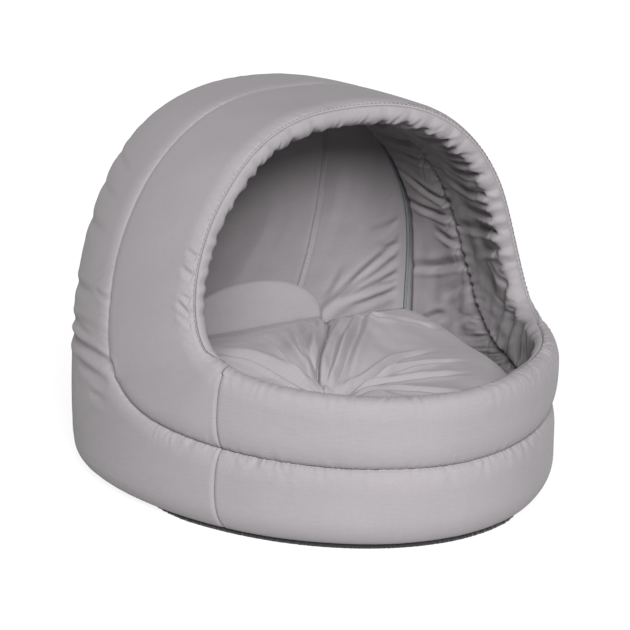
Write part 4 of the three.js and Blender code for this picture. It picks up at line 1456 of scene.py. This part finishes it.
@dataclass
class Back:
    """The flat D-shaped rear wall: outer cloth, lining and the overlocked inner seam.

    Attributes:
        form: wall that it closes.
        finishes: materials of the bed.
        planes: arch's plane and flat side's plane, of the outer cloth and of the lining.
        edges: thickness at the outline, of the outer cloth and of the lining.
        bulge: thickness in the middle.
        swells: distance from the outline at which each starts to swell.
        swell_run: distance over which it swells.
        inset: gap to the middle of the wall.
        middle_z: height that the rings close in on.
        rings: rings from the outline to the middle.
        arch_count: points on each half of the arch.
        foot_count: points along the foot.
        edge_y: planes between which the overlocked edge lies.
        edge_depth: how far in from the middle of the wall it starts and ends.
        edge_count: points on each half of it.
        loop_pitch: distance between its loops of thread.
    """

    form: BedForm
    finishes: Finishes
    planes: tuple[tuple[float, float], ...] = ((177.5, 173.2), (173.5, 172.8))
    edges: tuple[float, float] = (3.0, 2.8)
    bulge: float = 11.0
    swells: tuple[float, float] = (1.0, 9.0)
    swell_run: float = 46.0
    edge_y: tuple[float, float] = (166.8, 169.5)
    edge_depth: tuple[float, float] = (4.0, 6.6)
    inset: float = 3.2
    middle_z: float = 140.0
    rings: int = 120
    arch_count: int = 240
    foot_count: int = 160
    edge_count: int = 520
    loop_pitch: float = 3.1

    def panel(self, name: str, face: Face) -> bpy.types.Object:
        """Shallow pillow inside the arch: the outline drawn in towards the middle, rising from
        the edge thickness to the bulge by an ease of the distance in.

        Args:
            name: name of the piece.
            face: outer cloth or lining; the lining leans in towards its top.

        Returns:
            The dressed object.
        """
        lining, sign = face is Face.LINING, face.value
        (y_arch, y_flat), edge, start = self.planes[lining], self.edges[lining], self.swells[lining]
        arch = self.form.arch_at(y_arch, -self.inset, self.arch_count, lining)
        foot = np.linspace(arch[-1], arch[0], self.foot_count + 2)[1:-1]
        outline = np.concatenate([arch, foot])
        run = running(outline)
        r = (1.0 - np.linspace(0, 1, self.rings, endpoint=False) ** 1.3)[:, None]
        x = outline[None, :, 0] * r
        z = self.middle_z + (outline[None, :, 2] - self.middle_z) * r
        d = (1.0 - r) * np.hypot(outline[:, 0], outline[:, 2] - self.middle_z)[None]
        rise = mixed((edge, self.bulge), smooth((d - start) / self.swell_run) ** 0.8)
        along = np.broadcast_to(run[None], x.shape)
        fold = 0.8 * waves(x, z, 80.0, 23) + 0.2 * waves(x, z, 30.0, 29)
        fold = fold + Gathers((0, 1400), 13.0, 1.0, 18.0, 0.4, 111 + sign).height(along, d)
        fold = fold + Gathers((0, 1400), 7.0, 0.7, 10.0, 0.4, 121 + sign).height(along, d)
        if lining:
            fold = fold + creased(BACK_CREASES, x, z)
        h = np.maximum(rise + fold * smooth((d - start + 4.0) / 9.0), 0.6)
        flat = y_flat - (self.form.back_lean(z) if lining else 0.0 * z)
        shown = np.stack([x, flat + sign * h, z], -1)
        rim = np.stack([outline[:, 0], flat[0], outline[:, 2]], -1)[None]
        grid = np.concatenate([shown[::-1], rim], axis=0)
        y_middle = float(flat[-1, 0])
        middle = [[0.0, y_middle + sign * self.bulge, self.middle_z], [0.0, y_middle, self.middle_z]]
        verts = np.concatenate([grid.reshape(-1, 3), middle])
        obj = Maker.mesh(name, verts, Maker.polar_faces(*grid.shape[:2]), verts[:, [0, 2]])
        return self.finishes.dress(obj, self.finishes.lining if lining else self.finishes.cotton)

    def seam_edge(self) -> bpy.types.Object:
        """Overlocked edge: a thin strip in the corner, its free side scalloped by the thread."""
        y = sum(self.edge_y) / 2
        outer, inner = (self.form.arch_at(y, -depth, self.edge_count, True) for depth in self.edge_depth)
        run = running(outer)
        loop = 0.5 + 0.5 * np.sin(run * 2 * np.pi / self.loop_pitch)
        sway = 0.5 * np.sin(run / 17.0) + 0.3 * np.sin(run / 6.3 + 1.0)
        tip = inner + (outer - inner) * (0.22 * loop)[:, None]
        half = (self.edge_y[1] - self.edge_y[0]) / 2
        a = np.linspace(0, 2 * np.pi, 13)[:-1]
        t = (0.5 - 0.5 * np.cos(a))[None, :, None]
        ring = outer[:, None] * (1 - t) + tip[:, None] * t
        thick = (half * (0.7 + 0.3 * loop))[:, None] * np.sin(a)[None]
        ring[..., 1] += 0.4 * sway[:, None] * t[..., 0] + thick
        uv = np.stack(np.broadcast_arrays(run[:, None], np.linspace(0, 14, 12)[None]), -1)
        faces = Maker.ring_faces(*ring.shape[:2])
        obj = Maker.mesh("overlocked_seam", ring.reshape(-1, 3), faces, uv.reshape(-1, 2))
        return self.finishes.dress(obj, self.finishes.overlock)

    def build(self) -> list[bpy.types.Object]:
        """Rear cloth, lining and overlocked seam."""
        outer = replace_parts(self.panel("back_outer_cloth", Face.OUTER), "back_panel")
        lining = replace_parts(self.panel("back_inner_cloth", Face.LINING), "back_lining")
        return [outer, lining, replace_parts(self.seam_edge(), "back_seam_edge")]


# Rings of the sole, from the middle of its top to the middle of its underside: share of the
# plan, share of the thickness, share of the fuzz
SOLE_RINGS = (
    (0.5, 1.0, 0.0), (0.9, 1.0, 0.0), (0.985, 1.0, 0.0), (1.0, 0.93, 0.5), (1.003, 0.55, 1.0),
    (1.002, 0.15, 0.9), (0.996, 0.0, 0.3), (0.9, 0.0, 0.0), (0.5, 0.0, 0.0),
)


@dataclass
class Sole:
    """Flat black felt under the bed, with a fuzzy cut edge, set further in at both sides.

    Attributes:
        form: wall that it closes below.
        finishes: materials of the bed.
        thick: thickness of the felt.
        insets: inset from the crest, at the rear and at the front.
        left_run: distances along the plan over which the left inset changes.
        right_run: the same on the right.
        y_rear: plane of its rear side.
        level: height up the wall at which the plan is taken.
        count: points on each side.
        back_count: points along the rear side.
    """

    form: BedForm
    finishes: Finishes
    thick: float = 4.6
    insets: tuple[float, float] = (24.0, 12.0)
    left_run: tuple[float, float] = (110.0, 220.0)
    right_run: tuple[float, float] = (330.0, 420.0)
    y_rear: float = 172.0
    level: float = 20.0
    count: int = 400
    back_count: int = 158

    def inset(self, p: Array, run: tuple[float, float]) -> Array:
        """Inset at p: an ease from the rear's to the front's over a run."""
        return mixed(self.insets, smooth((p - run[0]) / (run[1] - run[0])))

    def build(self) -> list[bpy.types.Object]:
        """Slab with a rounded, uneven edge: rings from the top's middle, over the edge, to the
        middle of the underside."""
        p = np.linspace(0.0, self.form.p_end, self.count)
        insets = self.inset(p, self.left_run), self.inset(p, self.right_run)
        plan = self.form.plan_at(insets, self.y_rear, self.level, self.count)[:-1]
        back = np.linspace(plan[-1], plan[0], self.back_count + 2)[1:-1]
        plan = np.concatenate([plan, back])[:, :2]
        run = running(plan)
        fuzz = 0.5 * waves(run, run * 0, 4.0, 41) + 0.4 * waves(run, run * 0, 1.7, 43)
        away = plan / np.linalg.norm(plan, axis=1)[:, None]
        rings = []
        for share, z, spread in SOLE_RINGS:
            xy = plan * share + away * (fuzz * spread)[:, None]
            rings.append(np.column_stack([xy, np.full(len(xy), z * self.thick)]))
        verts = np.concatenate([*rings, [[0, 0, self.thick], [0, 0, 0.0]]])
        faces = Maker.polar_faces(len(rings), len(plan))
        obj = self.finishes.dress(Maker.mesh("felt_sole", verts, faces, verts[:, :2]), self.finishes.felt)
        return [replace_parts(obj, "sole")]


# Rings of the cushion's edge, from its top to its underside: inset and drop where it is plain
# (a height over the floor where positive), then inset, drop and share of the climb on the flap
CUSHION_RINGS = (
    (5.0, -3.0, 15.0, 1.0, 0.0), (3.6, -5.0, 15.2, 1.0, 0.12), (2.5, -8.0, 14.2, 0.0, 0.55),
    (1.8, -11.0, 11.5, 0.0, 0.93), (1.5, -14.0, 8.8, 0.0, 1.0), (1.0, -18.0, 5.0, -2.0, 0.98),
    (0.6, 56.0, 2.6, -5.0, 0.94), (0.2, 48.0, 1.0, -10.0, 0.6), (0.0, 40.0, 0.5, 70.0, 0.0),
    (1.0, 22.0, 1.0, 22.0, 0.0), (3.0, 13.0, 3.0, 13.0, 0.0), (7.0, 8.0, 7.0, 8.0, 0.0),
    (16.0, 4.7, 16.0, 4.7, 0.0),
)


@dataclass
class Cushion:
    """Loose filled cushion: one tuft, pleats round it, and the rear edge turned up.

    Attributes:
        form: wall that it lies in.
        finishes: materials of the bed.
        clear: inset from the wall's crest.
        y_rear: plane of its rear side.
        level: height up the wall at which its plan is taken.
        plan_count: points on each side of the plan.
        tuft: place of the tuft.
        tuft_z: height of the tuft.
        under_z: height of the underside.
        crown_rise: height of the crown over the edge.
        side_z: height of the edge at the sides and front.
        rear_z: height of the edge at the rear.
        flap_centre: middle of the turned-up edge.
        flap_half: half its width.
        flap_base: height at which it starts.
        flap_rise: how far it climbs.
        spokes: points round a ring.
        rings: rings from the tuft to the edge.
    """

    form: BedForm
    finishes: Finishes
    clear: float = 26.2
    y_rear: float = 159.8
    tuft: tuple[float, float] = (-12.0, 14.0)
    tuft_z: float = 60.0
    crown_rise: float = 9.0
    side_z: float = 77.0
    rear_z: float = 94.0
    flap_centre: float = -14.0
    flap_half: float = 83.0
    flap_base: float = 96.0
    flap_rise: float = 46.0
    level: float = 20.0
    plan_count: int = 240
    under_z: float = 4.7
    spokes: int = 760
    rings: int = 92

    def reach(self, angle: Array, plan: Array) -> Array:
        """Distance from the tuft to the edge in each direction, by crossing every side.

        Args:
            angle: directions in radians.
            plan: (N, 2) closed plan.

        Returns:
            One distance for each direction.
        """
        a, b = plan, np.roll(plan, -1, axis=0)
        e, d = (b - a)[None], (a - np.array(self.tuft))[None]
        dx, dy = np.cos(angle)[:, None], np.sin(angle)[:, None]
        det = dx * -e[..., 1] + dy * e[..., 0]
        det = np.where(np.abs(det) < 1e-9, 1e-9, det)
        r = (d[..., 0] * -e[..., 1] + d[..., 1] * e[..., 0]) / det
        t = (dx * d[..., 1] - dy * d[..., 0]) / det
        return np.where((r > 0) & (t >= 0) & (t <= 1), r, 0.0).max(axis=1)

    def top(self, f: Array, angle: Array, reach: Array, edge_z: Array, flap: Array) -> Array:
        """Height of the top: up steeply from the tuft, over a crown, down to the edge, with
        the pleats and a little unevenness.

        Args:
            f: share of the way from the tuft to the edge.
            angle: directions in radians.
            reach: distance from the tuft to the edge.
            edge_z: height of the edge.
            flap: share of the flap's height in each direction.

        Returns:
            Heights, a row for each share.
        """
        crown = edge_z + self.crown_rise
        dome = self.tuft_z + (crown - self.tuft_z) * quarter(f / 0.5) ** 1.3
        dome = dome - self.crown_rise * smooth((f - 0.6) / 0.4)
        x = self.tuft[0] + np.cos(angle) * reach * f
        y = self.tuft[1] + np.sin(angle) * reach * f
        lift = flap * smooth((f - 0.5) / 0.5) * (self.flap_base - edge_z)
        uneven = 1.4 * waves(x, y, 70.0, 31) + 0.4 * waves(x, y, 26.0, 37)
        fold = creased(CUSHION_CREASES, x, y)
        fold = fold + Gathers((-600, 1200), 10.0, 1.6, 16.0, 0.4, 131).height(angle * 110.0, (1 - f) * reach)
        return dome + lift + (fold + uneven) * smooth(f * 6)

    def build(self) -> list[bpy.types.Object]:
        """Polar grid from the tuft over the top, round the edge and in under the cushion."""
        plan = self.form.plan_at((self.clear,) * 2, self.y_rear, self.level, self.plan_count)[:-1, :2]
        angle = np.arange(self.spokes) * 2 * np.pi / self.spokes
        reach = self.reach(angle, plan)
        rear = smooth((np.sin(angle) - 0.25) / 0.5)
        edge_z = self.side_z + (self.rear_z - self.side_z) * rear
        s = (self.tuft[0] + np.cos(angle) * reach - self.flap_centre) / self.flap_half
        flap = np.where((np.sin(angle) > 0) & (np.abs(s) < 1), np.sqrt(np.maximum(0, 1 - s * s)), 0.0)
        on = smooth(flap * 3)
        sine = np.maximum(0.5, np.sin(angle))
        f = np.linspace(0.012, 0.9, self.rings)[:, None]
        z = self.top(f, angle[None], reach[None], edge_z[None], flap[None])
        inner = np.stack([reach[None] * f, z], -1)
        gather = Gathers((-100, 1200), 9.0, 0.9, 16.0, 0.3, 132)
        rows = []
        for k, (inset, low, flap_inset, flap_low, climb) in enumerate(CUSHION_RINGS):
            z0 = edge_z + low if low < 0 else np.full_like(edge_z, low)
            rises = climb > 0 or flap_low < 5
            z1 = self.flap_base + self.flap_rise * flap * climb + flap_low if rises else z0
            r = reach - (inset + (flap_inset / sine - inset) * on)
            wave = gather.height(reach * angle, np.full_like(reach, 3.0 * abs(k - 5))) * (1 - on)
            rows.append(np.column_stack([np.minimum(r + wave * 0.6, reach), z0 + (z1 - z0) * on]))
        rows.append(np.column_stack([reach * 0.5, np.full(self.spokes, self.under_z)]))
        for k in (0, 1):
            eased = z[-1] + (rows[2][:, 1] - z[-1]) * (k + 1) / 3
            rows[k][:, 1] = rows[k][:, 1] * 0.7 + eased * 0.3
        grid = np.concatenate([inner, np.stack(rows)])
        x = self.tuft[0] + np.cos(angle)[None] * grid[..., 0]
        y = self.tuft[1] + np.sin(angle)[None] * grid[..., 0]
        points = np.stack([x, y, grid[..., 1]], -1)
        ends = [[*self.tuft, self.tuft_z - 3], [*self.tuft, self.under_z]]
        verts = np.concatenate([points.reshape(-1, 3), ends])
        climbing = np.maximum(0, verts[:, 2] - self.flap_base)
        uv = np.column_stack([verts[:, 0], verts[:, 1] + climbing])
        obj = Maker.mesh("tufted_cushion", verts, Maker.polar_faces(*points.shape[:2]), uv)
        self.finishes.dress(obj, self.finishes.cotton)
        return [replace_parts(obj, "cushion")]


@dataclass
class Studio:
    """Floor, lamp, world and camera. The camera's values were fitted to the outline.

    Attributes:
        azimuth: direction of the camera, in degrees round from the front.
        elevation: its height, in degrees.
        distance: its distance from the target.
        focal_px: focal length in pixels of the image.
        image_px: width of the image.
        sensor: width of the sensor.
        target: point that it looks at.
        sun_azimuth: direction of the lamp.
        sun_elevation: its height, in degrees.
        sun_strength: its strength.
        sun_spread: its width on the sky, in degrees.
        floor_half: half the width of the floor, in metres.
        floor_colour: grey of the floor.
        floor_glow: strength of its glow.
        world_strength: strength of the surround.
    """

    azimuth: float = -30.99
    elevation: float = 17.27
    distance: float = 2621.85
    focal_px: float = 3060.93
    image_px: float = 630.0
    sensor: float = 36.0
    target: tuple[float, float, float] = (-22.74, 20.27, 146.71)
    sun_azimuth: float = -25.0
    sun_elevation: float = 34.0
    sun_strength: float = 9.0
    sun_spread: float = 28.0
    floor_half: float = 14.0
    floor_colour: float = 0.1
    floor_glow: float = 0.87
    world_strength: float = 0.08

    @staticmethod
    def direction(azimuth: float, elevation: float) -> Vector:
        """Unit vector towards a place round the bed.

        Args:
            azimuth: degrees round, 0 in front of the bed.
            elevation: degrees up.

        Returns:
            The vector, in the bed's frame.
        """
        a, e = math.radians(azimuth), math.radians(elevation)
        return Vector((math.sin(a) * math.cos(e), -math.cos(a) * math.cos(e), math.sin(e)))

    def camera(self) -> None:
        """Camera on the photograph's line of sight; the lens is the focal length in pixels
        over the image width, times the sensor's width."""
        back = self.direction(self.azimuth, self.elevation)
        data = bpy.data.cameras.new("camera")
        data.sensor_width = self.sensor
        data.lens = self.focal_px / self.image_px * self.sensor
        data.clip_start, data.clip_end = 0.1, 60.0
        cam = bpy.data.objects.new("camera", data)
        cam.location = (Vector(self.target) + back * self.distance) * MM
        cam.rotation_euler = (-back).to_track_quat("-Z", "Y").to_euler()
        bpy.context.scene.collection.objects.link(cam)
        bpy.context.scene.camera = cam

    def lamp(self) -> None:
        """One wide soft lamp from above the front left."""
        data = bpy.data.lights.new("soft_key", "SUN")
        data.energy, data.angle = self.sun_strength, math.radians(self.sun_spread)
        lamp = bpy.data.objects.new("soft_key", data)
        towards = self.direction(self.sun_azimuth, self.sun_elevation)
        lamp.location = towards * 2.0
        lamp.rotation_euler = (-towards).to_track_quat("-Z", "Y").to_euler()
        bpy.context.scene.collection.objects.link(lamp)

    def floor(self) -> None:
        """Plain pale floor that glows a little, so that it stays near white."""
        half = self.floor_half
        corners = [(-half, -half, 0), (half, -half, 0), (half, half, 0), (-half, half, 0)]
        data = bpy.data.meshes.new("floor")
        data.from_pydata(corners, [], [(0, 1, 2, 3)])
        obj = bpy.data.objects.new("floor", data)
        kit = Nodes("pale_floor")
        kit.set(Roughness=0.9, Specular_IOR_Level=0.1, Emission_Strength=self.floor_glow)
        kit.shader.inputs["Base Color"].default_value = (self.floor_colour,) * 3 + (1.0,)
        kit.shader.inputs["Emission Color"].default_value = (1.0, 1.0, 1.0, 1.0)
        data.materials.append(kit.material)
        bpy.context.scene.collection.objects.link(obj)

    def world(self) -> None:
        """Even, faint white surround, seen as white."""
        world = bpy.data.worlds.new("surround")
        world.use_nodes = True
        light = world.node_tree.nodes["Background"]
        light.inputs["Color"].default_value = (1.0, 1.0, 1.0, 1.0)
        light.inputs["Strength"].default_value = self.world_strength
        bpy.context.scene.world = world

    def build(self) -> None:
        """Sets the whole studio up."""
        bpy.context.scene.view_settings.view_transform = "Standard"
        self.floor()
        self.world()
        self.lamp()
        self.camera()


def main() -> None:
    """Builds every piece in order, then the studio."""
    logging.basicConfig(level=logging.INFO, format="%(message)s")
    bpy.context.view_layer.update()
    form, finishes = BedForm(), Finishes()
    for assembly in (
        Sole(form, finishes),
        Shell(form, finishes),
        Back(form, finishes),
        Cushion(form, finishes),
    ):
        for piece in assembly.build():
            LOG.info("%s: %d faces", piece.name, len(piece.data.polygons))
    Studio().build()


if __name__ == "__main__":
    main()
